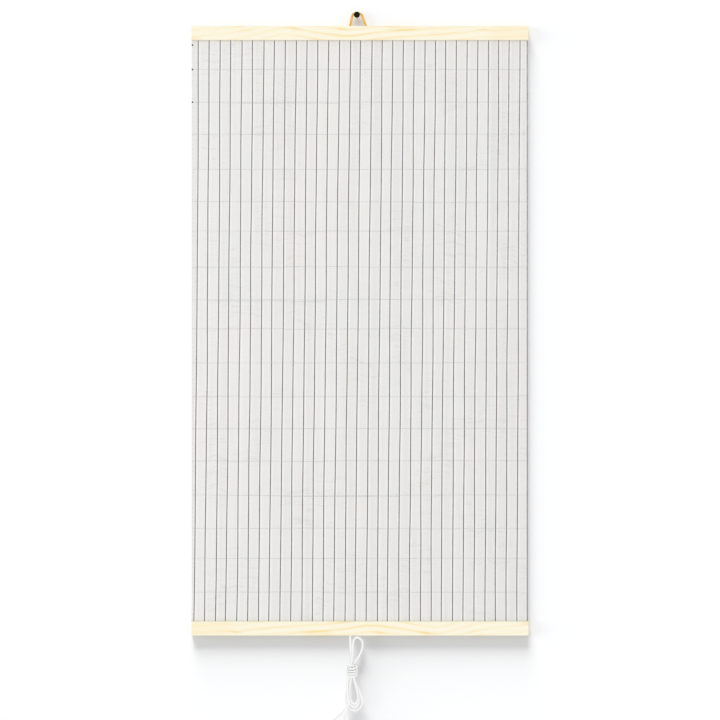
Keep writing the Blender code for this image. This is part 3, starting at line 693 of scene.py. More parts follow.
def turn_into(shape, profile, start, direction, sides):
    """Adds a round form from (distance along the axis, radius) pairs."""
    axis = Vector(direction)
    side = axis.orthogonal().normalized()
    rings = []
    for along, radius in profile:
        centre = Vector(start) + axis * along
        angles = [2 * pi * step / sides for step in range(sides if radius else 1)]
        spokes = [Matrix.Rotation(angle, 3, axis) @ side for angle in angles]
        rings.append([shape.verts.new(centre + spoke * radius) for spoke in spokes])
    skin(shape, rings)


def through(knots, samples):
    """A smooth curve through the knots, with this many steps from each to the next."""
    knots = [Vector(place) for place in knots]
    padded = [2 * knots[0] - knots[1], *knots, 2 * knots[-1] - knots[-2]]
    points = []
    for before, start, end, after in zip(padded, padded[1:], padded[2:], padded[3:]):
        for step in range(samples):
            t = step / samples
            bend = 2 * before - 5 * start + 4 * end - after
            twist = 3 * start - before - 3 * end + after
            points.append((2 * start + (end - before) * t + bend * t**2 + twist * t**3) / 2)
    return [*points, knots[-1]]


def lengths_along(points):
    """How far along the route each point lies."""
    steps = [(after - before).length for before, after in zip(points, points[1:])]
    return np.concatenate([[0], np.cumsum(steps)])


def at_lengths(points, wanted):
    """Points at the wanted distances along the route."""
    travelled = lengths_along(points)
    columns = [np.interp(wanted, travelled, [point[axis] for point in points]) for axis in range(3)]
    return [Vector(place) for place in zip(*columns)]


def evenly(points, step):
    """The same route with its points about a step apart, and its length."""
    total = lengths_along(points)[-1]
    return at_lengths(points, np.linspace(0, total, round(total / step) + 1)), total


def frames_along(points, first_side):
    """For each point its direction and a side that turns no more than it must."""
    ways = []
    for at in range(len(points)):
        ways.append((points[min(at + 1, len(points) - 1)] - points[max(at - 1, 0)]).normalized())
    side = Vector(first_side)
    sides = []
    for before, way in zip([ways[0], *ways], ways):
        side = before.rotation_difference(way) @ side
        side = (side - way * side.dot(way)).normalized()
        sides.append(side.copy())
    return list(zip(ways, sides))


def swept(name, points, frames, outline):
    """A closed tube with one outline, given as (side, across) pairs, at every point."""
    shape = bmesh.new()
    rings = []
    for point, (way, side) in zip(points, frames):
        across = way.cross(side)
        rings.append([shape.verts.new(point + side * u + across * v) for u, v in outline])
    skin(shape, rings)
    return mesh_of(shape, name)


# The power cord

def signed_power(value, power):
    """A power that keeps the value's sign."""
    return abs(value) ** power * (1 if value > 0 else -1)


def eased(share):
    """A share held between 0 and 1, with a smooth start and end."""
    share = min(max(share, 0), 1)
    return share * share * (3 - 2 * share)


def lane_place(row, side, z):
    """A strand in the knot: rows go outwards from the wall, side is -1 on the left and 1 on the right."""
    return knot + Vector((side * cord_lane / 2, -row * cord_lane, z))


def bulge(angle):
    """A loop's sideways swell: 0 at its neck, 1 where it is widest."""
    widest = (loop_fullness_power + 1) / (loop_fullness_power + 2)
    peak = 2 * widest ** ((loop_fullness_power + 1) / 2) * (1 - widest) ** 0.5
    return sin(angle) * abs(sin(angle / 2)) ** loop_fullness_power / peak


def loop_angles():
    return [2 * pi * step / points_per_turn for step in range(points_per_turn + 1)]


def hanging_strands(row):
    """Down from the left lane, round the loop below the knot and up into the right lane, within one row."""
    width = hanging_loop_width * hanging_loop_width_shares[row]
    shift = hanging_loop_shift * hanging_loop_shift_shares[row]
    depth = hanging_loop_depth * hanging_loop_depth_shares[row]
    points = []
    for angle in loop_angles():
        swell = sin(angle / 2) ** 2
        x = -cord_lane / 2 * cos(angle / 2) - width * bulge(angle) + shift * swell
        points.append(knot + Vector((x, -row * cord_lane, -knot_height - depth * swell)))
    return points


def rising_strands(row):
    """Up from a row's right lane, round the loop above the knot and down into the next row's left lane."""
    points = []
    for angle in loop_angles():
        swell = sin(angle / 2) ** 2
        middle = rising_loop_shift * swell**rising_loop_shift_power - rising_loop_lean_back * swell**2
        x = cord_lane / 2 * cos(angle / 2) + rising_loop_width * bulge(angle) + middle
        y = -cord_lane * (row + eased((angle - pi / 2) / pi))
        points.append(knot + Vector((x, y, rising_loop_height * swell)))
    return points


def wrap_point(angle):
    """A point of the turns round the bundle, which run down as they go round."""
    roundness = 2 / wrap_squareness
    x = wrap_width * signed_power(cos(angle), roundness)
    y = wrap_depth * signed_power(sin(angle), roundness) - (row_count - 1) * cord_lane / 2
    z = -cord_radius - (wrap_start_angle - angle) / (2 * pi) * cord_lane
    return knot + Vector((x, y, z))


def cord_points():
    """The whole cord, from the slat's lower edge to the plug."""
    down = [cord_exit + Vector(place) for place in exit_route]
    entry = through([*down, lane_place(0, -1, 0), lane_place(0, -1, -knot_height / 2)], 3)
    points = list(entry)
    for row in range(row_count):
        points += hanging_strands(row)
        points.append(lane_place(row, 1, -knot_height / 2))
        if row < row_count - 1:
            points += rising_strands(row)
            points.append(lane_place(row + 1, -1, -knot_height / 2))
    last = lane_place(row_count - 1, 1, 0)
    over = [last + cord_lane * Vector(shares) for shares in wrap_entry_shares]
    steps = round(wrap_turn / (2 * pi) * points_per_turn)
    turns = [wrap_point(wrap_start_angle - wrap_turn * step / steps) for step in range(1, steps + 1)]
    away = [cord_exit + Vector(place) for place in plug_route]
    lead_in = through([*over, *turns[:2]], 2)
    lead_out = through([*turns[-2:], *away], 3)
    return [*points, *lead_in[:-1], *turns[2:-2], *lead_out]


def bend_radius(before, here, after):
    """Of the circle through three points; huge where they lie straight."""
    double_area = (here - before).cross(after - here).length
    sides = (here - before).length * (after - here).length * (after - before).length
    return sides / max(2 * double_area, straight_area)


def relaxed(points):
    """The route with its sharpest corners eased, as the cord's own stiffness does."""
    points = [point.copy() for point in points]
    for _ in range(easing_rounds):
        eased_points = [point.copy() for point in points]
        for at in range(2, len(points) - 2):
            if bend_radius(points[at - 2], points[at], points[at + 2]) < tightest_bend:
                eased_points[at] = (points[at - 1] + 2 * points[at] + points[at + 1]) / 4
        points = eased_points
    return points


def cord_outline():
    """A twin cord's section: two cores side by side with a shallow groove each side."""
    outline = []
    for step in range(cord_sides):
        angle = 2 * pi * step / cord_sides
        waist = 1 - cord_groove_share * abs(sin(angle)) ** cord_groove_power
        across = cord_radius * cord_flatness * waist * sin(angle) * cord_lobe_share
        outline.append((cord_radius * cos(angle), across))
    return outline


def power_cord(look):
    """One unbroken twin cord; it turns slowly along the way so that it meets the plug flat."""
    route, _ = evenly(through(cord_points(), 2), cord_step)
    points, length = evenly(relaxed(route), cord_step)
    frames = frames_along(points, (1, 0, 0))
    way, side = frames[-1]
    spare = np.arctan2(side.cross(plug_side).dot(way), side.dot(plug_side))
    turned = []
    for number, (way, side) in enumerate(frames):
        turn = spare * number / (len(frames) - 1)
        turned.append((way, Matrix.Rotation(turn, 3, way) @ side))
    mesh = swept("power_cord_lead", points, turned, cord_outline())
    return piece("power_cord_lead", mesh, look), points, length


# The hanging loop

def loop_leg(reach, shares):
    """A leg of the loop from where the cord bends at the slat up to the pin."""
    height = loop_apex_z - tilt_axis_z
    return [(x * reach, film_mid_y, tilt_axis_z + z * height) for x, z in shares]


def loop_route():
    """From inside the slat up over the pin and down again."""
    left = loop_leg(-loop_left_reach, loop_left_shares)
    right = loop_leg(loop_right_reach, loop_right_shares)
    middle = [*left, (0, film_mid_y, loop_apex_z), *reversed(right)]
    feet = [(middle[0][0], film_mid_y, slat_top_z), (middle[-1][0], film_mid_y, slat_top_z)]
    return through([feet[0], *middle, feet[1]], loop_samples)


def hanging_loop(look):
    """Three strands laid round each other."""
    points, length = evenly(loop_route(), loop_step)
    frames = frames_along(points, (0, 1, 0))
    strand_radius = loop_radius * loop_strand_share
    paths = []
    for strand in range(loop_strands):
        path = []
        for point, (way, side), at in zip(points, frames, lengths_along(points)):
            turn = 2 * pi * (strand / loop_strands + at / loop_lay_length)
            path.append(point + Matrix.Rotation(turn, 3, way) @ side * (loop_radius - strand_radius))
        paths.append(path)
    loop = strand_piece("hanging_loop_cord", paths, strand_radius, loop_sides, look)
    return loop, points, length


# Film, yarns and threads

def yarn_places():
    """A function that gives each yarn's middle at a height; the spacing is a little uneven, as woven."""
    random = np.random.default_rng(yarn_seed)
    moved = random.uniform(-yarn_jitter, yarn_jitter, yarn_count)
    phases = random.uniform(0, 2 * pi, (yarn_count, 2))
    rates = random.uniform(*yarn_sway_rates, yarn_count)

    def place(number, z):
        if number == yarn_count:
            return right_x - return_lead_inset
        share = (film_top_z - z) / (film_top_z - film_bottom_z)
        first, second = phases[number]
        rate = rates[number]
        sway = sin(rate * z + first) + ripple_share * sin(ripple_rate_share * rate * z + second)
        across = number / (yarn_count - 1) * 2 - 1
        bow = (yarn_bow - yarn_pinch * across**2) * (1 - share) ** 2 + yarn_spread * across * share**5
        straight = left_x + first_yarn_inset + number * yarn_pitch - yarn_lean * share
        return straight + bow + moved[number] + yarn_sway * sway

    return place


yarn_place = yarn_places()


def film_heights(high_z, low_z, dense_at_top):
    """Rows of the film, close together beside the slat, where it bends."""
    height = high_z - low_z
    bend = np.arange(0, hinge_stretch, hinge_row_step)
    rest = np.linspace(hinge_stretch, height, round((height - hinge_stretch) / film_row_step) + 1)
    drops = np.concatenate([bend, rest])
    return [high_z - drop for drop in drops] if dense_at_top else [low_z + drop for drop in reversed(drops)]


def film_columns(z):
    """The points across the film at a height: x, relief and the number of the strip that follows."""
    columns = [(left_x, 0.0, -1)]
    for number in range(yarn_count + 1):
        middle = yarn_place(number, z)
        for offset, height in lip_profile:
            x = middle + offset
            if x < right_x - film_edge_margin:
                columns.append((x, height, number if offset >= 0 else number - 1))
    columns.append((right_x, 0.0, yarn_count))
    return columns


def film_half(name, rows, look):
    """A closed sheet with a lip each side of every yarn, on its front and its back."""
    shape = bmesh.new()
    place_layer = shape.loops.layers.uv.new("strip_place")
    number_layer = shape.faces.layers.float.new("strip_number")
    grids = []
    for out, relief in ((-1, 1), (1, back_relief_share)):
        grid = []
        for z in rows:
            line = []
            for x, height, _ in film_columns(z):
                y = film_mid_y + out * (film_half_thickness + height * relief)
                line.append(shape.verts.new((x, y, z)))
            grid.append(line)
        grids.append(grid)
    strips = [number for _, _, number in film_columns(rows[0])]

    def add(corners, strip):
        face = shape.faces.new(corners)
        face[number_layer] = strip
        for loop in face.loops:
            x, _, z = loop.vert.co
            before = x - (yarn_place(strip, z) if strip >= 0 else left_x - edge_strip_reach)
            after = (yarn_place(strip + 1, z) if strip < yarn_count else right_x + edge_strip_reach) - x
            loop[place_layer].uv = (before, after)

    front, back = grids
    last = len(strips) - 1
    for row in range(len(rows) - 1):
        for column in range(last):
            strip = strips[column]
            here = (row, column), (row + 1, column), (row + 1, column + 1), (row, column + 1)
            add([front[r][c] for r, c in here], strip)
            add([back[r][c] for r, c in reversed(here)], strip)
        for column, strip in ((0, -1), (last, yarn_count)):
            add([front[row][column], back[row][column], back[row + 1][column], front[row + 1][column]], strip)
    for row in (0, len(rows) - 1):
        for column in range(last):
            ends = [front[row][column], front[row][column + 1], back[row][column + 1], back[row][column]]
            add(ends, strips[column])
    return piece(name, mesh_of(shape, name), look, blunt_angle)


def yarn_paths(rows, numbers):
    return [[(yarn_place(number, z), film_mid_y, z) for z in rows] for number in numbers]


def thread_heights():
    """Nearly even, from the first thread down to the last."""
    random = np.random.default_rng(thread_seed)
    high_z = film_top_z - thread_inset
    low_z = film_bottom_z + thread_inset
    even = np.linspace(high_z, low_z, thread_count)
    moved = random.uniform(-thread_jitter, thread_jitter, thread_count)
    moved[0] = moved[-1] = 0
    return [float(z) for z in even + moved]


def thread_path(z, random):
    """A thread from edge to edge that goes over and under the yarns, with a small step here and there."""
    surface = film_mid_y - film_half_thickness - thread_lift
    shoulder = surface - thread_shoulder_lift
    path = [(left_x + thread_end_inset, surface, z)]
    rise = 0.0
    for number in range(yarn_count + 1):
        x = yarn_place(number, z)
        path.append((x - thread_shoulder, shoulder, z + rise))
        path.append((x, surface - thread_hop if number % 2 else surface, z + rise))
        rise += random.normal(0, thread_wander) - thread_return_share * rise
        if random.random() < thread_slip_chance:
            rise += random.choice((-thread_slip, thread_slip))
        if number < yarn_count:
            path.append((x + thread_shoulder, shoulder, z + rise))
            middle_z = z + rise + random.normal(0, thread_middle_wander)
            path.append((x + yarn_pitch / 2, surface + thread_sag, middle_z))
    return path


def cross_threads(high_z, low_z):
    """The threads between two heights; some run double for a stretch."""
    random = np.random.default_rng(weave_seed)
    paths = []
    for number, z in enumerate(thread_heights()):
        path = thread_path(z, random)
        doubled = thread_path(z - doubled_gap, random)
        first = random.integers(*doubled_starts)
        if low_z < z <= high_z:
            paths.append(path)
            if number % doubled_every == 1:
                paths.append(doubled[first:first + doubled_points])
    return paths


def edge_knots(high_z, low_z):
    """The dark knots at the left ends of the first threads, one of them above the first thread."""
    heights = [film_top_z - first_knot_drop, *thread_heights()[:2]]
    return [(left_x + knot_inset, film_mid_y - knot_lift, z) for z in heights if low_z < z <= high_z]


def edge_stitches(high_z, low_z):
    """Small pale stitches down the film's left edge."""
    random = np.random.default_rng(stitch_seed)
    count = int((film_top_z - film_bottom_z) / stitch_pitch)
    moved = random.uniform(-stitch_jitter_share, stitch_jitter_share, count)
    heights = film_top_z - stitch_pitch * (np.arange(count) + 0.5 + moved)
    x = left_x + stitch_inset
    y = film_mid_y - film_half_thickness
    return [(x, y, float(z)) for z in heights if low_z < z <= high_z]


def knot_shape(name, radius, stretch_shares):
    """A small lumpy tuft of yarn, pressed flat."""
    shape = bmesh.new()
    bmesh.ops.create_icosphere(shape, subdivisions=2, radius=radius)
    for vert in shape.verts:
        a, b, c = (rate * part for rate, part in zip(lump_rates, vert.co))
        vert.co = vert.co * Vector(stretch_shares) * (1 + lump_share * sin(a + c) * cos(b))
    return mesh_of(shape, name)


# Plug, wall pin and screws

def plug_outline(along):
    """Width and thickness at a share of the plug's length, as shares of the largest."""
    places, widths, depths = zip(*through(plug_shares, plug_samples))
    return np.interp(along, places, widths), np.interp(along, places, depths)


def plug_ring(shape, along):
    """The plug at a share of its length: a ribbed neck, and a shallow ribbed dish on each flat side."""
    width_share, depth_share = plug_outline(along)
    ease_in, ease_out = neck_ease_shares
    neck = eased((along - neck_start_share) / ease_in) * (1 - eased((along - neck_end_share) / ease_out))
    wave = max(0, sin(2 * pi * (along - neck_start_share) / neck_groove_pitch_share))
    groove = 1 - neck_groove_share * neck * wave**0.5
    rim = 1 - rim_depth_share * eased((along - rim_start_share) / (1 - rim_start_share)) ** 2
    ribs = (1 + cos(2 * pi * (along - dish_middle_share) / dish_rib_pitch_share)) / 2
    flat, fade = dish_edge_shares
    roundness = 2 / plug_squareness
    centre = plug_start + plug_axis * along * plug_length
    ring = []
    for step in range(plug_sides):
        angle = 2 * pi * step / plug_sides
        across = width_share * groove * rim * plug_half_width * signed_power(cos(angle), roundness)
        out = depth_share * groove * rim * plug_half_thickness * signed_power(sin(angle), roundness)
        reach = (across / dish_half_width) ** 2 + ((along - dish_middle_share) / dish_half_length_share) ** 2
        dish = 1 - eased((reach - flat) / fade)
        out -= signed_power(sin(angle), dish_edge_power) * dish * (dish_depth - dish_rib_height * ribs)
        ring.append(shape.verts.new(centre + plug_side * across + Vector((0, out, 0))))
    return ring


def plug_body(look):
    """The moulded body, from its neck to the face that the contacts leave."""
    shape = bmesh.new()
    alongs = sorted({*np.linspace(0, 1, plug_rings), *plug_rim_ring_shares})
    skin(shape, [plug_ring(shape, along) for along in alongs])
    return piece("plug_moulding", mesh_of(shape, "plug_moulding"), look, blunt_angle)


def plug_contacts(metal, plastic):
    """Two nickel pins with rounded tips, each in a black sleeve."""
    contacts = bmesh.new()
    sleeves = bmesh.new()
    contact = [
        (-contact_root, 0),
        (-contact_root, contact_core_radius),
        (sleeve_length + contact_edge, contact_core_radius),
        (sleeve_length + 3 * contact_edge, contact_radius - contact_edge),
        (sleeve_length + 5 * contact_edge, contact_radius),
    ]
    for angle in np.linspace(0, pi / 2, contact_tip_steps)[:-1]:
        along = contact_length - contact_radius * (1 - sin(angle))
        contact.append((along, contact_radius * cos(angle) ** contact_tip_power))
    contact.append((contact_length, 0))
    sleeve = [
        (contact_edge, sleeve_radius - 4 * contact_edge),
        (contact_edge, sleeve_radius - contact_edge / 2),
        (3 * contact_edge, sleeve_radius),
        (sleeve_length - 4 * contact_edge, sleeve_radius),
        (sleeve_length, sleeve_radius - contact_edge),
        (sleeve_length, sleeve_radius - 5 * contact_edge),
    ]
    for side in (-1, 1):
        start = plug_start + plug_axis * plug_length + plug_side * side * contact_spacing / 2
        turn_into(contacts, contact, start, plug_axis, contact_sides)
        turn_into(sleeves, sleeve, start, plug_axis, contact_sides)
    pins = piece("plug_contacts", mesh_of(contacts, "plug_contacts"), metal)
    covers = piece("contact_sleeves", mesh_of(sleeves, "contact_sleeves"), plastic)
    return pins, covers


def pin_head(look):
    """A round head with a soft edge and a small collar behind it."""
    shape = bmesh.new()
    dome = pin_head_dome_share * pin_head_thickness
    profile = [(-pin_head_thickness, 0)]
    for angle in np.linspace(0, pi / 2, pin_head_dome_steps)[1:]:
        along = dome * (1 - cos(angle)) - pin_head_thickness
        profile.append((along, pin_head_radius * sin(angle) ** pin_head_roundness))
    profile += [(-forward, pin_head_radius - inward) for forward, inward in pin_head_rim_steps]
    profile += collar_profile
    turn_into(shape, profile, (0, -pin_head_stand_off, 0), (0, 1, 0), pin_head_sides)
    return piece("wall_pin_head", mesh_of(shape, "wall_pin_head"), look)


def pin_shank(look):
    """A steel shank that goes into the wall and ends in a point."""
    shape = bmesh.new()
    profile = [(-shank_front, 0), (-shank_front, shank_radius), (shank_straight, shank_radius)]
    profile += [shank_point, (shank_depth, 0)]
    turn_into(shape, profile, (0, 0, 0), (0, 1, 0), shank_sides)
    return piece("wall_pin_shank", mesh_of(shape, "wall_pin_shank"), look)


def screw_shape():
    """A countersunk screw, seen from behind the panel, with a cross recess."""
    shape = bmesh.new()
    angles = [2 * pi * (step + 0.5) / screw_sides + pi / 4 for step in range(screw_sides)]
    circle = [Vector((cos(angle), sin(angle))) for angle in angles]
    arm = ((recess_half_width, recess_reach), (-recess_half_width, recess_reach))
    corners = [Vector(corner) for corner in (*arm, (-recess_half_width, recess_half_width))]
    turns = [Matrix.Rotation(quarter * pi / 2, 2) for quarter in range(4)]
    cross = [turn @ corner for turn in turns for corner in corners]

    def ring(outline, size, depth):
        return [shape.verts.new((place.x * size, -depth, place.y * size)) for place in outline]

    rim = ring(circle, screw_rim_radius, screw_sink)
    edge = ring(circle, screw_head_radius, screw_sink + screw_head_edge)
    neck = ring(circle, screw_neck_radius, screw_neck_depth)
    end = ring(circle, screw_neck_radius, screw_thread_depth)
    tip = [shape.verts.new((0, -screw_length, 0))]
    mouth = ring(cross, 1, screw_sink)
    floor = ring(cross, recess_floor_share, screw_sink + recess_depth)
    for near, far in ((rim, edge), (edge, neck), (neck, end), (end, tip), (mouth, floor)):
        join_rings(shape, near, far)
    shape.faces.new(floor)
    face_edges = []
    for ring_points in (rim, mouth):
        after = [*ring_points[1:], ring_points[0]]
        face_edges += [shape.edges.get(pair) for pair in zip(ring_points, after)]
    bmesh.ops.triangle_fill(shape, edges=face_edges, use_beauty=True)
    return mesh_of(shape, "screw")


# Finishes

def pine_look():
    """Pale planed pine whose growth rings rise and dip along a slat.

    Along and rise are places on a slat, from its middle; the lower slat is laid the other way round.
    """
    look = Look("pine_planed", (0.955, 0.89, 0.69), 0.55)
    x, y, z = look.split(look.place())
    lower = look.step(z, -0.6, -0.5, 1.0, 0.0)
    way = 1.0 - lower * 2.0
    along = (x - panel_offset) * way
    rise = (z - (slat_top_z - slat_height / 2) + lower * (slat_top_z - slat_bottom_z - slat_height)) * way
    wave = look.hills(along, along * ring_slope + ring_rise, ring_hills)
    wander = look.noise(look.join(along * 30.0, y * 60.0, rise * 70.0))
    level = rise - wave + (y - slat_front_y) * ring_depth_slope + (wander - 0.5) * ring_wander
    rings = level / ring_pitch + ring_start
    ring = look.maths("FRACT", rings)
    fine_ring = look.maths("FRACT", rings * 3.0 + wander * 0.6)
    grain = look.noise(look.join(along * 13.0, lower * 7.0, rise * 90.0))
    high = look.step(rise, 0.001, 0.010)
    late = look.step(ring + high * 0.20, 0.52, 0.86) * look.step(ring, 0.93, 1.0, 1.0, 0.0)
    clear = look.hills(along, clear_level, clear_hills)
    patches = look.hills(along, patch_level, patch_hills)
    strength = clear + (patches * 1.2 - clear) * high
    warmth = late * look.step(grain, 0.25, 0.66, 0.60, 1.0) * strength
    warmth = warmth + look.step(fine_ring, 0.35, 0.9) * look.step(grain, 0.40, 0.75) * 0.12
    corner = look.step(along, -0.285, -0.262, 1.0, 0.0) * look.step(rise, -0.010, -0.004, 1.0, 0.0)
    slab = look.band(along, 0.047, 0.093, 0.010) * look.step(rise, 0.001, 0.005)
    warmth = warmth + slab * 0.30 + corner * 0.45 + look.step(along, 0.205, 0.235) * 0.20
    fibre = look.noise(look.join(along * 24.0, y * 1500.0, rise * 1500.0), 3.0, 0.6)
    pore = look.noise(look.join(along * 60.0, y * 2600.0, rise * 2600.0), 1.0)
    dark = look.step(pore, 0.66, 0.80) * 0.08
    color = look.mix(look.maths("MINIMUM", warmth, 1.0), pine_pale, pine_late)
    color = look.shade(color, 0.972 + fibre * 0.056 - dark)
    normal = look.bump(fibre * 0.6 + late * 0.5 - dark * 4.0, 0.00012, 0.35)
    return look.finish(color=color, roughness=0.46 + fibre * 0.16 + late * 0.05, normal=normal)


def film_look():
    """Milky laminated film: grey strips, a bright edge beside each yarn that is partly paler lifted film and
    partly a painted highlight, fine creases across with painted shade along them, a painted shade band under
    the top slat and painted shade that darkens the film towards the right.

    Before and after are the distances from the yarn before and to the yarn after.
    """
    look = Look("film_milky", (0.83, 0.83, 0.81), 0.3)
    x, y, z = look.split(look.place())
    before, after, _ = look.split(look.node("UVMap", {"uv_map": "strip_place"}))
    number = look.node("Attribute", {"attribute_name": "strip_number"}, output="Fac")
    strip_tone = look.node("TexWhiteNoise", {"noise_dimensions": "1D"}, {"W": number + 3.3}, "Value")
    streaks = look.noise(look.join(x * 950.0, 0.0, z * 5.0))
    broad = look.noise(look.join(x * 210.0, number, z * 2.2), 1.0)
    warp = look.noise(look.join(x * 26.0, 4.0, z * 12.0), 1.0)
    creases = look.noise(look.join(x * 14.0, y * 10.0, z * 230.0 + warp * 6.0), 3.0)
    folds = look.noise(look.join(x * 12.0, 2.0, z * 150.0 + warp * 5.0), 1.0)
    patches = look.noise(look.join(x * 11.0, 7.0, z * 9.0), 1.0)
    fine = look.noise(look.join(x * 520.0, y * 400.0, z * 620.0))
    cloud = look.noise(look.join(x * 6.0, 0.0, z * 5.0))
    broken = look.noise(look.join(x * 30.0, 5.0, z * 38.0))
    # Fold lines, used for a dent in the bump and for painted shade along each fold
    fold = look.step(look.maths("ABSOLUTE", folds - 0.5), 0.006, 0.030, 1.0, 0.0)
    fold = fold * look.step(patches, 0.46, 0.62)
    # The bright edge beside each yarn: partly paler film where it lifts off, partly a painted highlight on the
    # lip
    lift_highlight = look.band(before, *lift_highlight_after_yarn, lift_highlight_softness) * look.step(broken, 0.25, 0.60, 0.45, 1.0)
    nearing_highlight = look.band(after, *lift_highlight_before_yarn, lift_highlight_softness)
    lift_highlight = lift_highlight + nearing_highlight * look.step(broken, 0.35, 0.70, 0.10, 0.85)
    tone = 1.0 + (strip_tone - 0.5) * 0.030 + (streaks - 0.5) * 0.085 + (broad - 0.5) * 0.10
    # Painted shade: the tone follows the creases, darkens along each fold and darkens the film towards the
    # right
    tone = tone + (creases - 0.5) * 0.045 + (fine - 0.5) * 0.05 - fold * 0.075 - x * 0.055
    color = look.mix(look.step(cloud, 0.35, 0.65), film_cool, film_warm)
    # Painted shade: a darker, warmer band on the film just under the top slat
    rosy_shade = look.step(z, -0.072, -0.046) * 0.5
    color = look.mix(rosy_shade, color, film_rosy_shade)
    color = look.shade(color, tone)
    color = look.mix(look.maths("MINIMUM", lift_highlight, 1.0) * 0.66, color, film_lifted_highlight)
    height = streaks * 0.30 + creases * 0.55 + fine * 0.15 - fold * 0.4
    normal = look.bump(height, 0.00016, 0.45)
    return look.finish(color=color, roughness=0.26 + creases * 0.14 + broad * 0.06, normal=normal)


def yarn_look():
    """Twisted carbon yarn seen through the film: near black with a purple-brown cast, paler in places, a little
    paler over the upper part, and with a painted reflection that turns it pale over the film's upper right.
    """
    look = Look("yarn_carbon", (0.05, 0.036, 0.043), 0.6)
    x, y, z = look.split(look.place())
    twist = look.maths("SINE", (z + x * 0.6 + y * 0.5) * 3900.0)
    worn = look.noise(look.join(x * 60.0, 0.0, z * 150.0), 3.0, 0.6)
    hue = look.noise(look.join(x * 60.0, 3.0, z * 14.0))
    # Painted reflection: the yarns turn pale over the film's upper right, where the glossy film reflects
    far = look.step(x, 0.10, 0.26) * look.step(z, -0.62, -0.42)
    color = look.mix(look.step(hue, 0.35, 0.65), yarn_violet, yarn_brown)
    high = look.step(z, -0.66, -0.50)
    paleness_and_reflection = look.step(worn, 0.35, 0.75, 0.04, 0.24) + high * 0.05
    paleness_and_reflection = paleness_and_reflection + far * look.step(worn, 0.30, 0.70, 0.06, 0.34)
    color = look.mix(paleness_and_reflection, color, yarn_pale_and_reflected)
    # Painted light and shade along the twist, in step with its bumps
    color = look.shade(color, 0.92 + twist * 0.13)
    normal = look.bump(twist, 0.00010, 0.6)
    look.feed(look.shader, {"Specular IOR Level": 0.25})
    return look.finish(color=color, roughness=0.56 + worn * 0.12, normal=normal)


def thread_look():
    """Thin grey weft thread, dulled by the film over it."""
    look = Look("thread_grey", (0.45, 0.45, 0.45), 0.6)
    x, _, z = look.split(look.place())
    faded = look.noise(look.join(x * 21.0, 0.0, z * 130.0))
    twist = look.maths("SINE", (x + z * 0.7) * 6200.0)
    color = look.mix(look.step(faded, 0.30, 0.70), thread_dark, thread_light)
    normal = look.bump(twist, 0.00006, 0.5)
    # The twist is painted into the colour as light and shade, in step with its bumps
    return look.finish(color=look.shade(color, 0.96 + twist * 0.05), roughness=0.6, normal=normal)


def golden_look():
    """Golden yarn strands, with fine fibres along them."""
    look = Look("cord_golden", (0.80, 0.45, 0.10), 0.6)
    place = look.place()
    fibres = look.noise(look.stretched(place, (900.0, 900.0, 260.0)), 3.0, 0.6)
    worn = look.noise(look.stretched(place, (160.0, 160.0, 160.0)))
    color = look.mix(look.step(fibres, 0.32, 0.70), gold_deep, gold_bright)
    color = look.mix(look.step(worn, 0.55, 0.8) * 0.5, color, gold_worn)
    normal = look.bump(fibres, 0.00018, 0.7)
    look.feed(look.shader, {"Sheen Weight": 0.25, "Sheen Roughness": 0.4})
    return look.finish(color=color, roughness=0.50 + fibres * 0.2, normal=normal)


def moulded_look(name, color, grime, roughness, grain, specular=0.5):
    """Moulded or extruded plastic: an even colour with a faint cloud, fine grain and handling marks."""
    look = Look(name, color, roughness, **{"Specular IOR Level": specular})
    place = look.place()
    cloud = look.noise(look.stretched(place, (45.0, 45.0, 45.0)))
    fine = look.noise(look.stretched(place, (grain, grain, grain)))
    marks = look.step(look.noise(look.stretched(place, (120.0, 120.0, 30.0)), 4.0, 0.7), 0.56, 0.76)
    color = look.mix(marks * 0.35, look.shade(color, 0.975 + cloud * 0.05), grime)
    normal = look.bump(fine, 0.00006, 0.35)
    return look.finish(color=color, roughness=roughness - 0.05 + marks * 0.12 + cloud * 0.08, normal=normal)


def metal_look(name, color, dull, roughness, scratch):
    """Bare metal: fine scratches, duller patches and a little uneven gloss."""
    look = Look(name, color, roughness, Metallic=1.0)
    place = look.place()
    lines = look.noise(look.stretched(place, scratch))
    patches = look.noise(look.stretched(place, (70.0, 70.0, 70.0)), 3.0)
    color = look.mix(look.step(patches, 0.45, 0.75) * 0.6, color, dull)
    normal = look.bump(lines, 0.00003, 0.4)
    return look.finish(color=color, roughness=roughness - 0.08 + lines * 0.14 + patches * 0.12, normal=normal)


# The studio

def wall_look():
    """White paint with the panel's shadow; it is clear from behind, so that the panel's back can be seen."""
    look = Look("wall_paint", (0.741, 0.744, 0.752), 0.9)
    look.feed(look.shader, {"Specular IOR Level": 0.0})
    look.feed(look.shader, {"Emission Color": (1, 1, 1, 1), "Emission Strength": 0.02})
    clear = look.node("BsdfTransparent")
    behind = look.node("NewGeometry", output="Backfacing")
    seen = look.node("MixShader", {}, {0: behind, 1: Value(look, look.shader.outputs[0]), 2: clear})
    look.feed(look.output, {"Surface": seen})
    return look.material


def floor_look():
    """Pale matt floor with a faint cloud."""
    look = Look("floor_pale", (0.78, 0.78, 0.77), 0.8)
    place = look.place()
    cloud = look.noise(look.stretched(place, (3.0, 3.0, 3.0)))
    return look.finish(color=look.shade((0.80, 0.80, 0.79), 0.98 + cloud * 0.04), roughness=0.8)


def plane(name, corners, look):
    """A flat piece of the studio."""
    mesh = bpy.data.meshes.new(name)
    mesh.from_pydata(corners, [], [(0, 1, 2, 3)])
    mesh.materials.append(look)
    obj = bpy.data.objects.new(name, mesh)
    bpy.context.collection.objects.link(obj)
    return obj


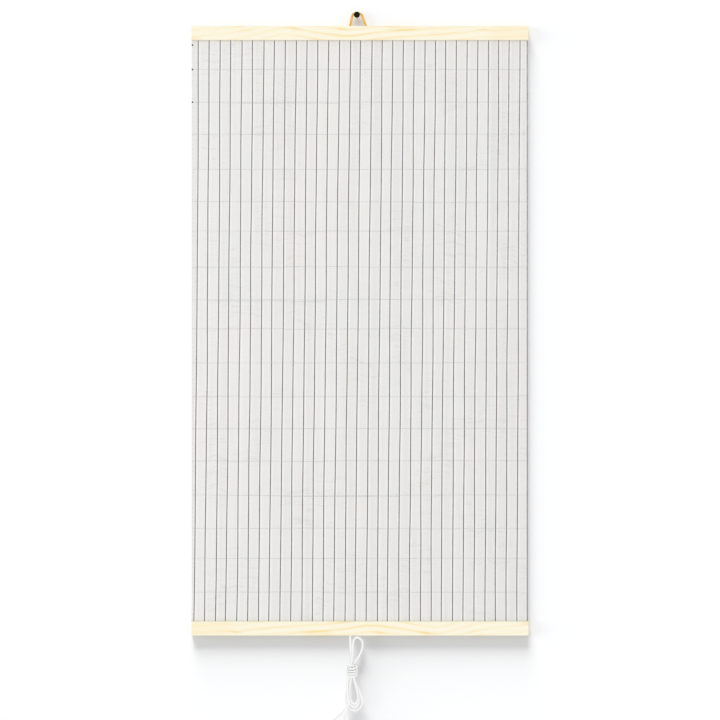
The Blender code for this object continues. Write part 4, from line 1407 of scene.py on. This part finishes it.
def studio():
    """A white wall behind the panel, a pale floor far under it, and the light on both and on the panel."""
    square = ((-1, -1), (1, -1), (1, 1), (-1, 1))
    ends = {-1: floor_z, 1: wall_top_z}
    corners = [(across * wall_half_width, wall_y, ends[up]) for across, up in square]
    wall = plane("wall", corners, wall_look())
    wall.visible_diffuse = False
    wall.visible_glossy = False
    wall.visible_transmission = False
    wall.visible_shadow = False
    corners = [(across * floor_half_width, along * floor_half_width, floor_z) for across, along in square]
    floor = plane("floor", corners, floor_look())
    floor.visible_diffuse = False
    floor.visible_shadow = False
    groups = lamp_groups(wall)
    for name, towards, strength, softness, group in lamps:
        lamp(name, towards, strength, softness, groups[group])
    bpy.context.scene.world = studio_air()


def studio_air():
    """Even light from all round; the camera, and what it sees through a clear surface, meet plain white."""
    world = bpy.data.worlds.new("studio_air")
    world.use_nodes = True
    tree = world.node_tree
    air = tree.nodes["Background"]
    air.inputs["Color"].default_value = (1, 1, 1, 1)
    path = tree.nodes.new("ShaderNodeLightPath")
    seen = tree.nodes.new("ShaderNodeMath")
    seen.operation = "MAXIMUM"
    tree.links.new(path.outputs["Is Camera Ray"], seen.inputs[0])
    tree.links.new(path.outputs["Is Transmission Ray"], seen.inputs[1])
    level = tree.nodes.new("ShaderNodeMapRange")
    level.inputs["To Min"].default_value = room_light
    level.inputs["To Max"].default_value = 1.0
    tree.links.new(seen.outputs[0], level.inputs["Value"])
    tree.links.new(level.outputs[0], air.inputs["Strength"])
    return world


def lamp_groups(wall):
    """What a lamp can be kept to: the wall alone, or all but the wall."""
    alone = bpy.data.collections.new("wall_alone")
    alone.objects.link(wall)
    others = bpy.data.collections.new("all_but_wall")
    others.objects.link(wall)
    others.collection_objects[0].light_linking.link_state = "EXCLUDE"
    return {"wall_alone": alone, "all_but_wall": others}


def lamp(name, towards, strength, softness, lit):
    """A far lamp on one group; towards points from the panel to it and softness is its width in degrees."""
    data = bpy.data.lights.new(name, "SUN")
    data.energy = strength
    data.angle = radians(softness)
    obj = bpy.data.objects.new(name, data)
    bpy.context.collection.objects.link(obj)
    obj.rotation_mode = "QUATERNION"
    obj.rotation_quaternion = Vector(towards).to_track_quat("Z", "Y")
    obj.light_linking.receiver_collection = lit


# The panel

def make_finishes():
    """Every finish by the name that the pieces ask for."""
    looks = {
        "pine": pine_look(),
        "film": film_look(),
        "yarn": yarn_look(),
        "thread": thread_look(),
        "golden": golden_look(),
    }
    looks.update({name: moulded_look(*values) for name, values in plastics.items()})
    looks.update({name: metal_look(*values) for name, values in metals.items()})
    return looks


def dress_nodes(looks):
    """Finishes for the solids whose shapes stay."""
    finished = {
        "pine": ("top_slat_front", "top_slat_back", "bottom_slat_front", "bottom_slat_back"),
        "film": ("film_tail_top", "film_tail_bottom"),
        "copper": ("busbar_top", "busbar_bottom", "return_lead_tail"),
        "tin": ("return_crimp", "busbar_crimp"),
        "blue": ("neutral_lead",),
        "brown": ("live_lead", "cutout_lead"),
        "steel": ("thermal_cutout", "cord_clamp", "clamp_screw_left", "clamp_screw_right"),
        "white_cord": ("cord_inner_end",),
        "golden": ("loop_end_left", "loop_end_right"),
    }
    for finish, nodes in finished.items():
        for node in nodes:
            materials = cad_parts[node].data.materials
            materials.clear()
            materials.append(looks[finish])


def add_power_lead(looks):
    """The cord from the slat to the plug, and the plug; all of it rides on the bottom slat."""
    cord, line, length = power_cord(looks["white_cord"])
    body = plug_body(looks["white"])
    contacts, sleeves = plug_contacts(looks["nickel"], looks["black"])
    for obj in (cord, body, contacts, sleeves):
        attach(obj, "bottom_slat")
    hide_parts("power_cord", "cord_hank", "plug_cord")
    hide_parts("plug_body")
    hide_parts("plug_pin_left", "plug_pin_right")
    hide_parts("pin_sleeve_left", "pin_sleeve_right")


def add_hanging_loop(looks):
    """The loop's cord bends where it enters the top slat."""
    loop, line, length = hanging_loop(looks["golden"])
    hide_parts("hanging_loop")
    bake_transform(loop)


def add_wall_pin(looks):
    """The pin's head and shank; the loop hangs on it."""
    head = pin_head(looks["black"])
    shank = pin_shank(looks["steel"])
    for obj, node in ((head, "pin_head"), (shank, "pin_shank")):
        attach(obj, "wall_pin")
        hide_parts(node)


def film_pieces(half, high_z, low_z, dense_at_top, looks):
    """One half of the film with its yarns, its threads, and the knots and stitches at its left edge."""
    yarn = looks["yarn"]
    thread = looks["thread"]
    rows = film_heights(high_z, low_z, dense_at_top)
    sheet = film_half(f"film_{half}", rows, looks["film"])
    paths = yarn_paths(rows, range(yarn_count))
    yarns = strand_piece(f"yarns_{half}", paths, yarn_radius, yarn_sides, yarn)
    paths = yarn_paths(rows, [yarn_count])
    lead = strand_piece(f"return_lead_{half}", paths, yarn_radius, yarn_sides, yarn)
    paths = cross_threads(high_z, low_z)
    threads = strand_piece(f"threads_{half}", paths, thread_radius, thread_sides, thread)
    made = [sheet, yarns, lead, threads]
    places = edge_knots(high_z, low_z)
    if places:
        pattern = knot_shape("knot", knot_radius, knot_stretch_shares)
        made.append(copied_piece("thread_knots", places, pattern, looks["knot"]))
    places = edge_stitches(high_z, low_z)
    pattern = knot_shape("stitch", stitch_radius, stitch_stretch_shares)
    made.append(copied_piece(f"edge_stitches_{half}", places, pattern, thread))
    return made


def add_film(looks):
    """In two halves, split at the film's middle height. In two halves, because a piece
    bends across one joint only.
    """
    upper = film_pieces("upper", top_edge_z + film_seat, film_split_z, True, looks)
    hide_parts("film_front", "film_back")
    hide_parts("heating_mesh")
    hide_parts("return_lead")
    for obj in upper:
        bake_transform(obj)
    lower = film_pieces("lower", film_split_z, bottom_edge_z - film_seat, False, looks)
    for obj in lower:
        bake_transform(obj)


def add_screws(looks):
    """Four behind each slat."""
    for side, edge_z, inward in (("top", top_edge_z, 1), ("bottom", bottom_edge_z, -1)):
        z = edge_z + inward * screw_edge_distance
        places = [(panel_offset + share * panel_width, 0, z) for share in screw_shares]
        screws = copied_piece(f"{side}_slat_screws", places, screw_shape(), looks["steel"])
        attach(screws, f"{side}_slat")
        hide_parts(*[f"{side}_screw_{number}" for number in range(1, len(screw_shares) + 1)])


def build():
    """The camera and the cords first, then the rest of the panel and the studio."""
    make_camera()
    looks = make_finishes()
    add_power_lead(looks)
    add_hanging_loop(looks)
    add_wall_pin(looks)
    add_film(looks)
    add_screws(looks)
    dress_nodes(looks)
    studio()


build()
bpy.context.scene.view_settings.view_transform = "Standard"
